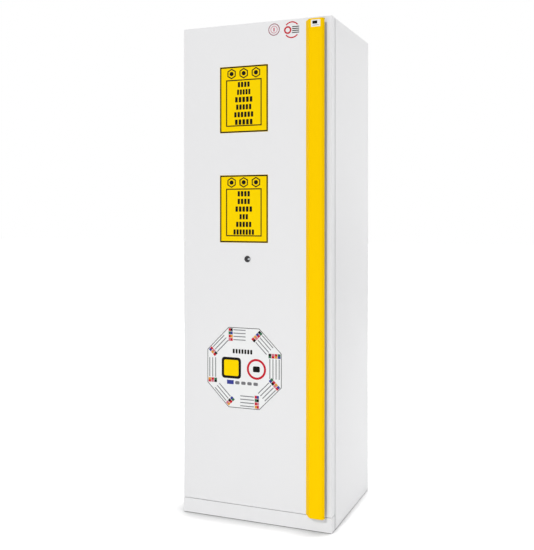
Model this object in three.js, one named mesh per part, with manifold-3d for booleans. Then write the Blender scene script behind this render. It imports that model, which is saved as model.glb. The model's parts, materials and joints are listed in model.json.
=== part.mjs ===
// Fire-rated chemical storage cabinet with one hinged door and three compartments.
// Millimetres. X runs right as seen from the front, Y runs to the back, Z runs up.
// The origin is on the floor, at the centre of the cabinet's footprint.
import * as THREE from 'three';
import { mergeVertices } from 'three/addons/utils/BufferGeometryUtils.js';
import Module from 'manifold-3d';

const wasm = await Module();
wasm.setup();

// Overall sizes
const cabinetWidth = 600;
const cabinetHeight = 1870;
const carcassDepth = 468;
const doorThickness = 38;
const doorGap = 6;
const plinthHeight = 54;
const plinthDoorGap = 2;

// Wall build-up, from the outside in
const sheet = 1.5;
const boardThickness = 50;
const linerThickness = 4;
const frameDepth = 12;
const sideReturnWidth = 20;

// Clearances and the overrun of every cutting tool
const overrun = 5;
const fitClearance = 0.3;

// Base frame and levelling feet
const baseFrameHeight = 50;
const railWidth = 44;
const crossMemberWidth = 40;
const channelWall = 3;
const footPadRadius = 17;
const footPadHeight = 8;
const footEdgeHeight = 2;
const footHexRadius = 11;
const footHexHeight = 6;
const footStudRadius = 6;
const footFloorClearance = 0.5;
const footInset = 48;
const footBossRadius = 11;
const footBossHeight = 25;

// Lock
const lockHeight = 984;
const lockOffset = -31;
const lockBarrelRadius = 9.5;
const lockFlangeRadius = 12;
const lockFlangeHeight = 3;
const lockFlangeEdge = 1;
const lockPlugRadius = 7;
const lockPlugRecess = 0.8;
const lockNutRadius = 13;
const lockNutThickness = 4;
const keyholeWidth = 2;
const keyholeHeight = 8;
const keyholeDepth = 6;
const camLength = 40;
const camWidth = 16;
const camThickness = 3;
const camStandoff = 3;
const camShaftRadius = 4;
const camTailLength = 2;

// Keeper that the lock's cam turns behind
const keeperWidth = 44;
const keeperThickness = 3;
const keeperGrip = 14;
const keeperCamGap = 2;
const keeperTipGap = 10;

// Hinges
const hingeShares = [0.1, 0.5, 0.9];
const hingeNames = ['lower', 'middle', 'upper'];
const hingeHeight = 120;
const hingeKnuckles = 5;
const knuckleRadius = 6.5;
const knuckleSideGap = 0.5;
const knuckleEndGap = 0.5;
const pinRadius = 3.5;
const pinHeadRadius = 5.5;
const pinHeadHeight = 3;
const leafThickness = 2.8;
const leafWidth = 30;
const leafCornerGap = 0.6;

// Seals
const frameSealWidth = 12;
const frameSealThickness = 2.5;
const frameSealInset = 34;
const frameSealRise = 14;
const gasketWidth = 7;
const gasketInset = 48;
const gasketRise = 28;
const gasketFrameGap = 0.4;

// Pressed fields of the door's inner panel, one above the lock and one below it
const pressedSideInset = 85;
const pressedEndInset = 85;
const pressedLockGap = 51;
const pressedRise = 3;
const pressedCornerRadius = 20;

// Handle profile, which runs nearly the full height of the door
const handleWidth = 78;
const handleDepth = 35;
const handleEdgeInset = 20.5;
const handleTopInset = 13;
const handleBottomInset = 1;
const handleWall = 2.5;
const handleSlantShare = 0.308;
const handleSlantRadius = 12;
const handleNoseRadius = 9;
const handleLipReach = 17;
const handleWebShare = 0.54;
const handleCapThickness = 3;
const handlePlugDepth = 12;

// Compartments
const lowerDividerThickness = 60;
const lowerDividerRise = 1;
const upperDividerThickness = 25;
const upperDividerShare = 0.5;
const dividerFrontInset = 24;
const ledgeBearing = 9;
const ledgeThickness = 10;
const ledgeShare = 0.52;

// Trays
const traySideGap = 6;
const trayWall = 3;
const trayFloor = 3;
const trayDraft = 5;
const trayRimWidth = 7;
const trayRimThickness = 4;
const trayCornerRadius = 18;
const trayHeight = 50;
const shelfTrayHeight = 30;
const sumpTrayHeight = 58;
const trayFrontInset = 22;
const trayDuctGap = 8;
const gridThickness = 2;
const gridEdge = 26;
const gridSlotLength = 46;
const gridSlotWidth = 9;
const gridPitchX = 60;
const gridPitchY = 22;

// Ventilation
const portOffset = 110;
const portRearInset = 58;
const spigotRadius = 37.5;
const spigotWall = 1.5;
const spigotRise = 45;
const spigotFlangeRadius = 52;
const spigotFlangeThickness = 2;
const spigotBeadHeight = 3;
const spigotBeadReach = 1.5;
const spigotBeadInset = 12;
const flapClearance = 1.6;
const flapThickness = 2;
const flapShaftRadius = 3;
const flapBelowTop = 5;
const ductWidth = 100;
const ductDepth = 28;
const ductWall = 2;
const plenumDepth = 100;
const plenumHeight = 60;
const ductFloorGap = 70;
const slotWidth = 64;
const slotHeight = 7;
const slotPitch = 16;
const slotRows = 4;
const slotFloorInset = 90;
const slotTopInset = 45;

// Facets of the round pieces
const roundSides = 24;
const smallSides = 16;
const hexSides = 6;
const arcSteps = 4;

// Places worked out from the sizes above
const halfWidth = cabinetWidth / 2;
const overallDepth = carcassDepth + doorGap + doorThickness;
const backY = overallDepth / 2;
const doorFrontY = -backY;
const doorBackY = doorFrontY + doorThickness;
const carcassFrontY = doorBackY + doorGap;
const frameBackY = carcassFrontY + frameDepth;
const panelInnerX = halfWidth - sheet;
const boardInnerX = panelInnerX - boardThickness;
const linerInnerX = boardInnerX - linerThickness;
const backPanelInnerY = backY - sheet;
const backReturnY = backPanelInnerY - sheet;
const backBoardInnerY = backReturnY - boardThickness;
const linerBackY = backBoardInnerY - linerThickness;
const panTopZ = baseFrameHeight + sheet;
const bottomBoardTopZ = panTopZ + boardThickness;
const floorZ = bottomBoardTopZ + linerThickness;
const topPanelUnderZ = cabinetHeight - sheet;
const topBoardUnderZ = topPanelUnderZ - boardThickness;
const ceilingZ = topBoardUnderZ - linerThickness;
const doorBottomZ = plinthHeight + plinthDoorGap;
const doorHeight = cabinetHeight - doorBottomZ;
const dividerFrontY = carcassFrontY + dividerFrontInset;
const lowerDividerTopZ = lockHeight + lowerDividerRise;
const lowerDividerUnderZ = lowerDividerTopZ - lowerDividerThickness;
const upperSpace = ceilingZ - lowerDividerTopZ;
const upperDividerTopZ = lowerDividerTopZ + upperDividerThickness + (upperSpace - upperDividerThickness)
  * upperDividerShare;
const upperDividerUnderZ = upperDividerTopZ - upperDividerThickness;
const ductFrontY = linerBackY - ductDepth;
const portY = backY - portRearInset - boardThickness;
const acidLedgeZ = upperDividerTopZ + (ceilingZ - upperDividerTopZ) * ledgeShare;
const baseLedgeZ = lowerDividerTopZ + (upperDividerUnderZ - lowerDividerTopZ) * ledgeShare;
const flammablesLedgeZ = floorZ + (lowerDividerUnderZ - floorZ) * ledgeShare;
const ledgeReach = traySideGap + trayRimWidth + trayDraft + ledgeBearing;
const hingeAxisX = -halfWidth - knuckleRadius - knuckleSideGap;
const hingeAxisY = (doorBackY + carcassFrontY) / 2;

// Finishes
function finish(color, roughness, metalness) {
  return new THREE.MeshStandardMaterial({ color, roughness, metalness });
}

const whiteLacquer = finish(0xe9e9e9, 0.45, 0);
const signalYellow = finish(0xfecd04, 0.4, 0);
const greyLiner = finish(0xdcdedd, 0.5, 0);
const paleBoard = finish(0xcfc8ba, 0.95, 0);
const darkPaint = finish(0x4a4d50, 0.6, 0.2);
const trayPlastic = finish(0xf0f0ec, 0.5, 0);
const ductPlastic = finish(0xb9bcbf, 0.55, 0);
const zincSteel = finish(0xb8bcc0, 0.4, 0.9);
const bareSteel = finish(0x9a9da0, 0.3, 1);
const chromePlate = finish(0xd0d2d4, 0.12, 1);
const blackRubber = finish(0x1c1c1e, 0.85, 0);
const sealStrip = finish(0x5b5350, 0.9, 0);

// Solids

// A closed surface with shared vertices and no empty triangles, as a solid for cutting.
function solidOf(geometry) {
  const bare = geometry.clone();
  bare.deleteAttribute('normal');
  bare.deleteAttribute('uv');
  const merged = mergeVertices(bare);
  const corners = merged.index.array;
  const kept = [];
  for (let i = 0; i < corners.length; i += 3) {
    const [a, b, c] = [corners[i], corners[i + 1], corners[i + 2]];
    if (a !== b && b !== c && c !== a) kept.push(a, b, c);
  }
  return new wasm.Manifold(new wasm.Mesh({
    numProp: 3,
    vertProperties: merged.attributes.position.array,
    triVerts: new Uint32Array(kept),
  }));
}

function geometryOf(solid) {
  const cutMesh = solid.getMesh();
  const geometry = new THREE.BufferGeometry();
  geometry.setAttribute('position', new THREE.BufferAttribute(cutMesh.vertProperties, 3));
  geometry.setIndex(new THREE.BufferAttribute(cutMesh.triVerts, 1));
  return geometry;
}

function join(...geometries) {
  return geometryOf(geometries.map(solidOf).reduce((whole, next) => whole.add(next)));
}

function cut(geometry, ...tools) {
  return geometryOf(tools.map(solidOf).reduce((rest, tool) => rest.subtract(tool), solidOf(geometry)));
}

// A box between two corners, each given as x, y and z.
function block(low, high) {
  const geometry = new THREE.BoxGeometry(high[0] - low[0], high[1] - low[1], high[2] - low[2]);
  return geometry.translate((low[0] + high[0]) / 2, (low[1] + high[1]) / 2, (low[2] + high[2]) / 2);
}

function outline(points) {
  return new THREE.Shape(points.map(([u, v]) => new THREE.Vector2(u, v)));
}

function rectangle(low, high) {
  return [[low[0], low[1]], [high[0], low[1]], [high[0], high[1]], [low[0], high[1]]];
}

// An outline in X and Y raised from one height to another.
function raise(shape, fromZ, toZ) {
  const geometry = new THREE.ExtrudeGeometry(shape, { depth: toZ - fromZ, bevelEnabled: false });
  return geometry.translate(0, 0, fromZ);
}

// An outline in X and Z drawn through Y.
function drawThroughY(shape, fromY, toY) {
  const geometry = new THREE.ExtrudeGeometry(shape, { depth: toY - fromY, bevelEnabled: false });
  return geometry.rotateX(Math.PI / 2).translate(0, toY, 0);
}

// An outline in Y and Z drawn through X.
function drawThroughX(shape, fromX, toX) {
  const geometry = new THREE.ExtrudeGeometry(shape, { depth: toX - fromX, bevelEnabled: false });
  return geometry.rotateX(Math.PI / 2).rotateZ(Math.PI / 2).translate(fromX, 0, 0);
}

// A profile of radius and height turned about the Z axis.
function turn(points, sides) {
  const profile = points.map(([radius, height]) => new THREE.Vector2(radius, height));
  return geometryOf(solidOf(new THREE.LatheGeometry(profile, sides).rotateX(Math.PI / 2)));
}

function rod(radius, fromZ, toZ, sides) {
  return turn([[0, fromZ], [radius, fromZ], [radius, toZ], [0, toZ]], sides);
}

// A rod along Y about a given X and Z.
function rodAlongY(radius, fromY, toY, x, z, sides) {
  return rod(radius, -toY, -fromY, sides).rotateX(Math.PI / 2).translate(x, 0, z);
}

// Points of a quarter turn or less about a centre.
function arc(centre, radius, fromAngle, toAngle) {
  return Array.from({ length: arcSteps + 1 }, (_, i) => {
    const angle = fromAngle + (toAngle - fromAngle) * i / arcSteps;
    return [centre[0] + radius * Math.cos(angle), centre[1] + radius * Math.sin(angle)];
  });
}

// A flat ring between two upright rectangles, drawn through Y.
function uprightRing(outerLow, outerHigh, width, fromY, toY) {
  const shape = outline(rectangle(outerLow, outerHigh));
  const innerLow = [outerLow[0] + width, outerLow[1] + width];
  const innerHigh = [outerHigh[0] - width, outerHigh[1] - width];
  shape.holes.push(new THREE.Path(rectangle(innerLow, innerHigh).map(([u, v]) => new THREE.Vector2(u, v))));
  return drawThroughY(shape, fromY, toY);
}

function mesh(name, geometry, material, place = [0, 0, 0]) {
  const piece = new THREE.Mesh(geometry, material);
  piece.name = name;
  piece.position.set(...place);
  return piece;
}

function groupOf(...pieces) {
  const group = new THREE.Group();
  group.add(...pieces);
  return group;
}

// Outer shell

// Side sheet with a return at the back that the back panel is riveted to.
function sidePanel(name, side) {
  const shape = outline([
    [side * halfWidth, carcassFrontY],
    [side * halfWidth, backPanelInnerY],
    [side * (halfWidth - sideReturnWidth), backPanelInnerY],
    [side * (halfWidth - sideReturnWidth), backReturnY],
    [side * panelInnerX, backReturnY],
    [side * panelInnerX, carcassFrontY],
  ]);
  return mesh(name, raise(shape, 0, cabinetHeight), whiteLacquer);
}

function backPanel() {
  const sheetPiece = block([-halfWidth, backPanelInnerY, 0], [halfWidth, backY, cabinetHeight]);
  return mesh('back_panel', sheetPiece, whiteLacquer);
}

function portHole(side, fromZ, toZ) {
  const hole = rod(spigotRadius + fitClearance, fromZ - overrun, toZ + overrun, roundSides);
  return hole.translate(side * portOffset, portY, 0);
}

// A level plate between the walls with the two round ventilation ports through it.
function portedPlate(low, high) {
  return cut(block(low, high), portHole(-1, low[2], high[2]), portHole(1, low[2], high[2]));
}

function topPanel() {
  const low = [-panelInnerX, carcassFrontY, topPanelUnderZ];
  const high = [panelInnerX, backReturnY, cabinetHeight];
  return mesh('top_panel', portedPlate(low, high), whiteLacquer);
}

function bottomPan() {
  const low = [-panelInnerX, frameBackY, baseFrameHeight];
  const high = [panelInnerX, backReturnY, panTopZ];
  return mesh('bottom_pan', block(low, high), zincSteel);
}

function frontFrame() {
  const shape = outline(rectangle([-panelInnerX, baseFrameHeight], [panelInnerX, topPanelUnderZ]));
  const opening = rectangle([-linerInnerX, floorZ], [linerInnerX, ceilingZ]);
  shape.holes.push(new THREE.Path(opening.map(([u, v]) => new THREE.Vector2(u, v))));
  return mesh('front_frame', drawThroughY(shape, carcassFrontY, frameBackY), whiteLacquer);
}

function frameSeal() {
  const low = [-halfWidth + frameSealInset, doorBottomZ + frameSealRise];
  const high = [halfWidth - frameSealInset, cabinetHeight - frameSealInset];
  const ring = uprightRing(low, high, frameSealWidth, carcassFrontY - frameSealThickness, carcassFrontY);
  return mesh('frame_seal', ring, sealStrip);
}

// Plinth strip: a folded tray, open at the back against the base frame.
function plinthPanel() {
  const outer = block([-halfWidth, doorFrontY, 0], [halfWidth, doorBackY, plinthHeight]);
  const hollow = block(
    [-panelInnerX, doorFrontY + sheet, sheet],
    [panelInnerX, doorBackY + overrun, plinthHeight - sheet],
  );
  return mesh('plinth_panel', cut(outer, hollow), whiteLacquer);
}

// Base frame and levelling feet

const footX = halfWidth - railWidth / 2 - sheet;
const footFrontY = doorBackY + railWidth + footInset;
const footRearY = backReturnY - railWidth - footInset;
const baseRailInnerX = panelInnerX - railWidth;

// Welded frame: rails all round, a centre cross-member, and side channels that hide the feet.
function baseFrame() {
  const outer = block([-panelInnerX, doorBackY, 0], [panelInnerX, backReturnY, baseFrameHeight]);
  const frontWindow = block(
    [-baseRailInnerX, doorBackY + railWidth, -overrun],
    [baseRailInnerX, -crossMemberWidth / 2, baseFrameHeight + overrun],
  );
  const rearWindow = block(
    [-baseRailInnerX, crossMemberWidth / 2, -overrun],
    [baseRailInnerX, backReturnY - railWidth, baseFrameHeight + overrun],
  );
  const channels = [-1, 1].map((side) => {
    const centreX = side * footX;
    const halfChannel = railWidth / 2 - channelWall;
    return block(
      [centreX - halfChannel, doorBackY + railWidth, -overrun],
      [centreX + halfChannel, backReturnY - railWidth, baseFrameHeight - channelWall],
    );
  });
  const rails = cut(outer, frontWindow, rearWindow, ...channels);
  const bossTop = baseFrameHeight - channelWall / 2;
  const bosses = footPlaces().map(([x, y]) => {
    return rod(footBossRadius, bossTop - footBossHeight, bossTop, smallSides).translate(x, y, 0);
  });
  const bores = footPlaces().map(([x, y]) => {
    const top = baseFrameHeight - channelWall;
    return rod(footStudRadius + fitClearance, -overrun, top, smallSides).translate(x, y, 0);
  });
  return mesh('base_frame', cut(join(rails, ...bosses), ...bores), darkPaint);
}

function footPlaces() {
  return [[-footX, footFrontY], [footX, footFrontY], [-footX, footRearY], [footX, footRearY]];
}

// Levelling foot: pad, spanner hexagon and stud, turned in one piece.
function footGeometry() {
  const padTop = footFloorClearance + footPadHeight;
  const hexTop = padTop + footHexHeight;
  const studTop = baseFrameHeight - channelWall - fitClearance;
  const pad = turn([
    [0, footFloorClearance],
    [footPadRadius, footFloorClearance],
    [footPadRadius, padTop - footEdgeHeight],
    [footHexRadius, padTop],
    [0, padTop],
  ], smallSides);
  const hexagon = rod(footHexRadius, padTop - footEdgeHeight, hexTop, hexSides);
  const stud = rod(footStudRadius, hexTop - footEdgeHeight, studTop, smallSides);
  return join(pad, hexagon, stud);
}

function levellingFeet() {
  const names = ['foot_front_left', 'foot_front_right', 'foot_rear_left', 'foot_rear_right'];
  return footPlaces().map(([x, y], i) => mesh(names[i], footGeometry(), zincSteel, [x, y, 0]));
}

// Insulation boards and inner lining

function insulation() {
  const sideTop = topPanelUnderZ;
  const boards = [-1, 1].map((side) => {
    const x = [side * panelInnerX, side * boardInnerX].sort((a, b) => a - b);
    const board = block([x[0], frameBackY, panTopZ], [x[1], backReturnY, sideTop]);
    return mesh(side < 0 ? 'left_board' : 'right_board', board, paleBoard);
  });
  const backBoard = block([-boardInnerX, backBoardInnerY, panTopZ], [boardInnerX, backReturnY, sideTop]);
  const topBoard = portedPlate(
    [-boardInnerX, frameBackY, topBoardUnderZ],
    [boardInnerX, backBoardInnerY, topPanelUnderZ],
  );
  const bottomBoard = block(
    [-boardInnerX, frameBackY, panTopZ],
    [boardInnerX, backBoardInnerY, bottomBoardTopZ],
  );
  return [
    ...boards,
    mesh('back_board', backBoard, paleBoard),
    mesh('top_board', topBoard, paleBoard),
    mesh('bottom_board', bottomBoard, paleBoard),
  ];
}

// Side liner with the moulded ledges that carry the upper trays and the shelf.
function sideLiner(name, side) {
  const ledges = [flammablesLedgeZ, baseLedgeZ, acidLedgeZ].flatMap((top) => [
    [side * linerInnerX, top - ledgeThickness - ledgeReach / 2],
    [side * (linerInnerX - ledgeReach), top - ledgeThickness],
    [side * (linerInnerX - ledgeReach), top],
    [side * linerInnerX, top],
  ]);
  const shape = outline([
    [side * boardInnerX, bottomBoardTopZ],
    [side * linerInnerX, bottomBoardTopZ],
    ...ledges,
    [side * linerInnerX, topBoardUnderZ],
    [side * boardInnerX, topBoardUnderZ],
  ]);
  return mesh(name, drawThroughY(shape, frameBackY, linerBackY), greyLiner);
}

function lining() {
  const backLiner = block(
    [-boardInnerX, linerBackY, bottomBoardTopZ],
    [boardInnerX, backBoardInnerY, topBoardUnderZ],
  );
  const topLiner = portedPlate(
    [-linerInnerX, frameBackY, ceilingZ],
    [linerInnerX, linerBackY, topBoardUnderZ],
  );
  const bottomLiner = block(
    [-linerInnerX, frameBackY, bottomBoardTopZ],
    [linerInnerX, linerBackY, floorZ],
  );
  return [
    sideLiner('left_liner', -1),
    sideLiner('right_liner', 1),
    mesh('back_liner', backLiner, greyLiner),
    mesh('top_liner', topLiner, greyLiner),
    mesh('bottom_liner', bottomLiner, greyLiner),
  ];
}

// Dividers, with notches at the back for the two ventilation ducts

function divider(name, fromZ, toZ, material) {
  const notchFrontY = ductFrontY - fitClearance;
  const inner = portOffset - ductWidth / 2 - fitClearance;
  const outer = portOffset + ductWidth / 2 + fitClearance;
  const shape = outline([
    [-linerInnerX, dividerFrontY],
    [linerInnerX, dividerFrontY],
    [linerInnerX, linerBackY],
    [outer, linerBackY],
    [outer, notchFrontY],
    [inner, notchFrontY],
    [inner, linerBackY],
    [-inner, linerBackY],
    [-inner, notchFrontY],
    [-outer, notchFrontY],
    [-outer, linerBackY],
    [-linerInnerX, linerBackY],
  ]);
  return mesh(name, raise(shape, fromZ, toZ), material);
}

// Trays

// Corner points of a rectangle with rounded corners at one height.
function roundedLoop(halfX, halfY, radius, z) {
  const corners = [[1, 1, 0], [-1, 1, 1], [-1, -1, 2], [1, -1, 3]];
  return corners.flatMap(([signX, signY, quarter]) => {
    const centre = [signX * (halfX - radius), signY * (halfY - radius)];
    return arc(centre, radius, quarter * Math.PI / 2, (quarter + 1) * Math.PI / 2)
      .map(([x, y]) => new THREE.Vector3(x, y, z));
  });
}

// A closed skin through a run of loops of equal length, with a flat cap on the first and the last.
function skin(loops) {
  const count = loops[0].length;
  const points = loops.flat();
  const firstCentre = points.length;
  const lastCentre = firstCentre + 1;
  const middle = (loop) => loop.reduce((sum, p) => sum.add(p), new THREE.Vector3()).divideScalar(count);
  points.push(middle(loops[0]), middle(loops[loops.length - 1]));
  const faces = [];
  for (let i = 0; i < count; i += 1) {
    const next = (i + 1) % count;
    faces.push(firstCentre, next, i);
    const top = (loops.length - 1) * count;
    faces.push(lastCentre, top + i, top + next);
    for (let row = 0; row < loops.length - 1; row += 1) {
      const low = row * count;
      const high = low + count;
      faces.push(low + i, low + next, high + next, low + i, high + next, high + i);
    }
  }
  const geometry = new THREE.BufferGeometry().setFromPoints(points);
  return geometry.setIndex(faces);
}

// An open tray with drafted walls and a flat rim, standing on its own origin.
function trayGeometry(halfX, halfY, height, wall, floor) {
  const bottomX = halfX - trayRimWidth - trayDraft;
  const bottomY = halfY - trayRimWidth - trayDraft;
  const neckX = halfX - trayRimWidth;
  const neckY = halfY - trayRimWidth;
  const neckRadius = trayCornerRadius + trayDraft;
  const rimRadius = neckRadius + trayRimWidth;
  const rimUnder = height - trayRimThickness;
  return skin([
    roundedLoop(bottomX, bottomY, trayCornerRadius, 0),
    roundedLoop(neckX, neckY, neckRadius, rimUnder),
    roundedLoop(halfX, halfY, rimRadius, rimUnder),
    roundedLoop(halfX, halfY, rimRadius, height),
    roundedLoop(neckX - wall, neckY - wall, neckRadius - wall, height),
    roundedLoop(bottomX - wall, bottomY - wall, trayCornerRadius - wall, floor),
  ]);
}

const trayHalfX = linerInnerX - traySideGap;
const trayFrontY = carcassFrontY + trayFrontInset;
const trayRearY = ductFrontY - trayDuctGap;
const trayHalfY = (trayRearY - trayFrontY) / 2;
const trayCentreY = (trayRearY + trayFrontY) / 2;

function tray(name, baseZ, height, material, wall, floor) {
  const geometry = trayGeometry(trayHalfX, trayHalfY, height, wall, floor);
  return mesh(name, geometry, material, [0, trayCentreY, baseZ]);
}

function trays() {
  return [
    tray('acid_tray_lower', upperDividerTopZ, trayHeight, trayPlastic, trayWall, trayFloor),
    tray('acid_tray_upper', acidLedgeZ, trayHeight, trayPlastic, trayWall, trayFloor),
    tray('base_tray_lower', lowerDividerTopZ, trayHeight, trayPlastic, trayWall, trayFloor),
    tray('base_tray_upper', baseLedgeZ, trayHeight, trayPlastic, trayWall, trayFloor),
    tray('flammables_shelf', flammablesLedgeZ, shelfTrayHeight, zincSteel, sheet, sheet),
    tray('sump_tray', floorZ, sumpTrayHeight, zincSteel, sheet, sheet),
  ];
}

// Slotted cover that lies on the sump's rim.
function sumpGrid() {
  const columns = Math.floor((2 * (trayHalfX - gridEdge) + gridPitchX - gridSlotLength) / gridPitchX);
  const rows = Math.floor((2 * (trayHalfY - gridEdge) + gridPitchY - gridSlotWidth) / gridPitchY);
  const plate = outline(roundedLoop(trayHalfX, trayHalfY, trayCornerRadius, 0).map((p) => [p.x, p.y]));
  const slots = [];
  for (let column = 0; column < columns; column += 1) {
    for (let row = 0; row < rows; row += 1) {
      const x = (column - (columns - 1) / 2) * gridPitchX;
      const y = (row - (rows - 1) / 2) * gridPitchY;
      slots.push(block(
        [x - gridSlotLength / 2, y - gridSlotWidth / 2, -overrun],
        [x + gridSlotLength / 2, y + gridSlotWidth / 2, gridThickness + overrun],
      ));
    }
  }
  const place = [0, trayCentreY, floorZ + sumpTrayHeight];
  return mesh('sump_grid', cut(raise(plate, 0, gridThickness), ...slots), zincSteel, place);
}

// Ventilation

const plenumUnderZ = ceilingZ - plenumHeight;
const plenumFrontY = linerBackY - plenumDepth;

// Rear duct with slots into each compartment, open at the back and into the plenum box above it.
function ventDuct(name, side, slotsAtFloor) {
  const lowX = side * portOffset - ductWidth / 2;
  const highX = side * portOffset + ductWidth / 2;
  const footZ = floorZ + ductFloorGap;
  const outer = block([lowX, ductFrontY, footZ], [highX, linerBackY, plenumUnderZ]);
  const shaft = block(
    [lowX + ductWall, ductFrontY + ductWall, footZ + ductWall],
    [highX - ductWall, linerBackY + overrun, plenumUnderZ + overrun],
  );
  const slots = [];
  const compartments = [
    [footZ, lowerDividerUnderZ],
    [lowerDividerTopZ, upperDividerUnderZ],
    [upperDividerTopZ, plenumUnderZ],
  ];
  compartments.forEach(([low, high]) => {
    for (let row = 0; row < slotRows; row += 1) {
      const rise = row * slotPitch;
      const centre = slotsAtFloor ? low + slotFloorInset + rise : high - slotTopInset - rise;
      slots.push(block(
        [side * portOffset - slotWidth / 2, ductFrontY - overrun, centre - slotHeight / 2],
        [side * portOffset + slotWidth / 2, ductFrontY + ductWall + overrun, centre + slotHeight / 2],
      ));
    }
  });
  return mesh(name, cut(outer, shaft, ...slots), ductPlastic);
}

// Plenum box between a duct and its ceiling port, open at the top and at the back.
function plenumBox(name, side) {
  const lowX = side * portOffset - ductWidth / 2;
  const highX = side * portOffset + ductWidth / 2;
  const outer = block([lowX, plenumFrontY, plenumUnderZ], [highX, linerBackY, ceilingZ]);
  const hollow = block(
    [lowX + ductWall, plenumFrontY + ductWall, plenumUnderZ + ductWall],
    [highX - ductWall, linerBackY + overrun, ceilingZ + overrun],
  );
  const passage = block(
    [lowX + ductWall, ductFrontY + ductWall, plenumUnderZ - overrun],
    [highX - ductWall, linerBackY + overrun, ceilingZ + overrun],
  );
  return mesh(name, cut(outer, hollow, passage), ductPlastic);
}

const flapZ = cabinetHeight - flapBelowTop;

// Ceiling spigot: a collar with a stop bead, a flange on the top panel and holes for the flap's shaft.
function spigot(name, side) {
  const inner = spigotRadius - spigotWall;
  const flangeTop = cabinetHeight + spigotFlangeThickness;
  const rim = cabinetHeight + spigotRise;
  const beadZ = rim - spigotBeadInset;
  const beadRadius = spigotRadius + spigotBeadReach;
  const collar = turn([
    [inner, ceilingZ],
    [spigotRadius, ceilingZ],
    [spigotRadius, cabinetHeight],
    [spigotFlangeRadius, cabinetHeight],
    [spigotFlangeRadius, flangeTop],
    [spigotRadius, flangeTop],
    [spigotRadius, beadZ - spigotBeadHeight],
    [beadRadius, beadZ - spigotBeadHeight / 2],
    [beadRadius, beadZ + spigotBeadHeight / 2],
    [spigotRadius, beadZ + spigotBeadHeight],
    [spigotRadius, rim],
    [inner, rim],
    [inner, ceilingZ],
  ], roundSides);
  const shaftHole = rod(flapShaftRadius + fitClearance, -spigotFlangeRadius, spigotFlangeRadius, smallSides)
    .rotateY(Math.PI / 2)
    .translate(0, 0, flapZ);
  return mesh(name, cut(collar, shaftHole), bareSteel, [side * portOffset, portY, 0]);
}

// Butterfly flap on its shaft, shown open, with its disc upright across the collar.
function flap(name, side) {
  const discRadius = spigotRadius - spigotWall - flapClearance;
  const disc = rod(discRadius, -flapThickness / 2, flapThickness / 2, roundSides).rotateX(Math.PI / 2);
  const shaftReach = spigotRadius - fitClearance;
  const shaft = rod(flapShaftRadius, -shaftReach, shaftReach, smallSides).rotateY(Math.PI / 2);
  return mesh(name, join(disc, shaft), bareSteel, [side * portOffset, portY, flapZ]);
}

// Door

const doorLow = [-halfWidth, doorFrontY, doorBottomZ];
const doorHigh = [halfWidth, doorBackY, cabinetHeight];
const innerPanelFrontY = doorBackY - sheet;
const lockDepth = doorBackY + lockNutThickness;

function lockHole(fromY, toY) {
  const radius = lockBarrelRadius + fitClearance;
  return rodAlongY(radius, fromY - overrun, toY + overrun, lockOffset, lockHeight, smallSides);
}

// Folded front skin: a tray that is open at the back.
function doorOuterSkin() {
  const hollow = block(
    [doorLow[0] + sheet, doorFrontY + sheet, doorLow[2] + sheet],
    [doorHigh[0] - sheet, doorBackY + overrun, doorHigh[2] - sheet],
  );
  const skinPiece = cut(block(doorLow, doorHigh), hollow, lockHole(doorFrontY, doorBackY));
  return mesh('door_outer_skin', skinPiece, whiteLacquer);
}

// The inner panel's pressed fields, each smaller all round by an inset.
function pressedFields(inset, fromY, toY) {
  const bands = [
    [doorBottomZ + pressedEndInset, lockHeight - pressedLockGap],
    [lockHeight + pressedLockGap, cabinetHeight - pressedEndInset],
  ];
  return bands.map(([lowZ, highZ]) => {
    const halfX = halfWidth - pressedSideInset - inset;
    const halfZ = (highZ - lowZ) / 2 - inset;
    const loop = roundedLoop(halfX, halfZ, pressedCornerRadius - inset, 0);
    const field = drawThroughY(outline(loop.map((p) => [p.x, p.y])), fromY, toY);
    return field.translate(0, 0, (lowZ + highZ) / 2);
  });
}

// Fire board that fills the skin and the back of the inner panel's pressed fields.
function doorCore() {
  const core = block(
    [doorLow[0] + sheet, doorFrontY + sheet, doorLow[2] + sheet],
    [doorHigh[0] - sheet, innerPanelFrontY, doorHigh[2] - sheet],
  );
  const fields = pressedFields(sheet, doorFrontY + sheet, doorBackY + pressedRise - sheet);
  return mesh('door_core', cut(join(core, ...fields), lockHole(doorFrontY, doorBackY)), paleBoard);
}

function doorInnerPanel() {
  const panel = block(
    [doorLow[0] + sheet, innerPanelFrontY, doorLow[2] + sheet],
    [doorHigh[0] - sheet, doorBackY, doorHigh[2] - sheet],
  );
  const fields = pressedFields(0, innerPanelFrontY, doorBackY + pressedRise);
  const backs = pressedFields(sheet, doorFrontY, doorBackY + pressedRise - sheet);
  const pressed = cut(join(panel, ...fields), ...backs, lockHole(doorFrontY, doorBackY));
  return mesh('door_inner_panel', pressed, whiteLacquer);
}

function doorGasket() {
  const low = [-halfWidth + gasketInset, doorBottomZ + gasketRise];
  const high = [halfWidth - gasketInset, cabinetHeight - gasketInset];
  const ring = uprightRing(low, high, gasketWidth, doorBackY, carcassFrontY - gasketFrameGap);
  return mesh('door_gasket', ring, blackRubber);
}

// Handle: a hollow profile with a slanted side, a round nose and an open finger groove behind the nose

const handleRightX = halfWidth - handleEdgeInset;
const handleLeftX = handleRightX - handleWidth;
const handleBottomZ = doorBottomZ + handleBottomInset;
const handleTopZ = cabinetHeight - handleTopInset;

const handleSlantWidth = handleWidth * handleSlantShare;
const handleWebX = handleWidth * handleWebShare;
const handleLipY = -handleLipReach;

// Centre of the rounded shoulder where the slanted side turns into the front.
const handleSlant = Math.atan2(handleDepth, handleSlantWidth);
const shoulderX = handleSlantWidth + handleSlantRadius * Math.tan(handleSlant / 2);
const shoulderY = handleSlantRadius - handleDepth;

function handleShoulder(inset) {
  const square = Math.PI + Math.PI / 2;
  return arc([shoulderX, shoulderY], handleSlantRadius - inset, square - handleSlant, square);
}

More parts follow.
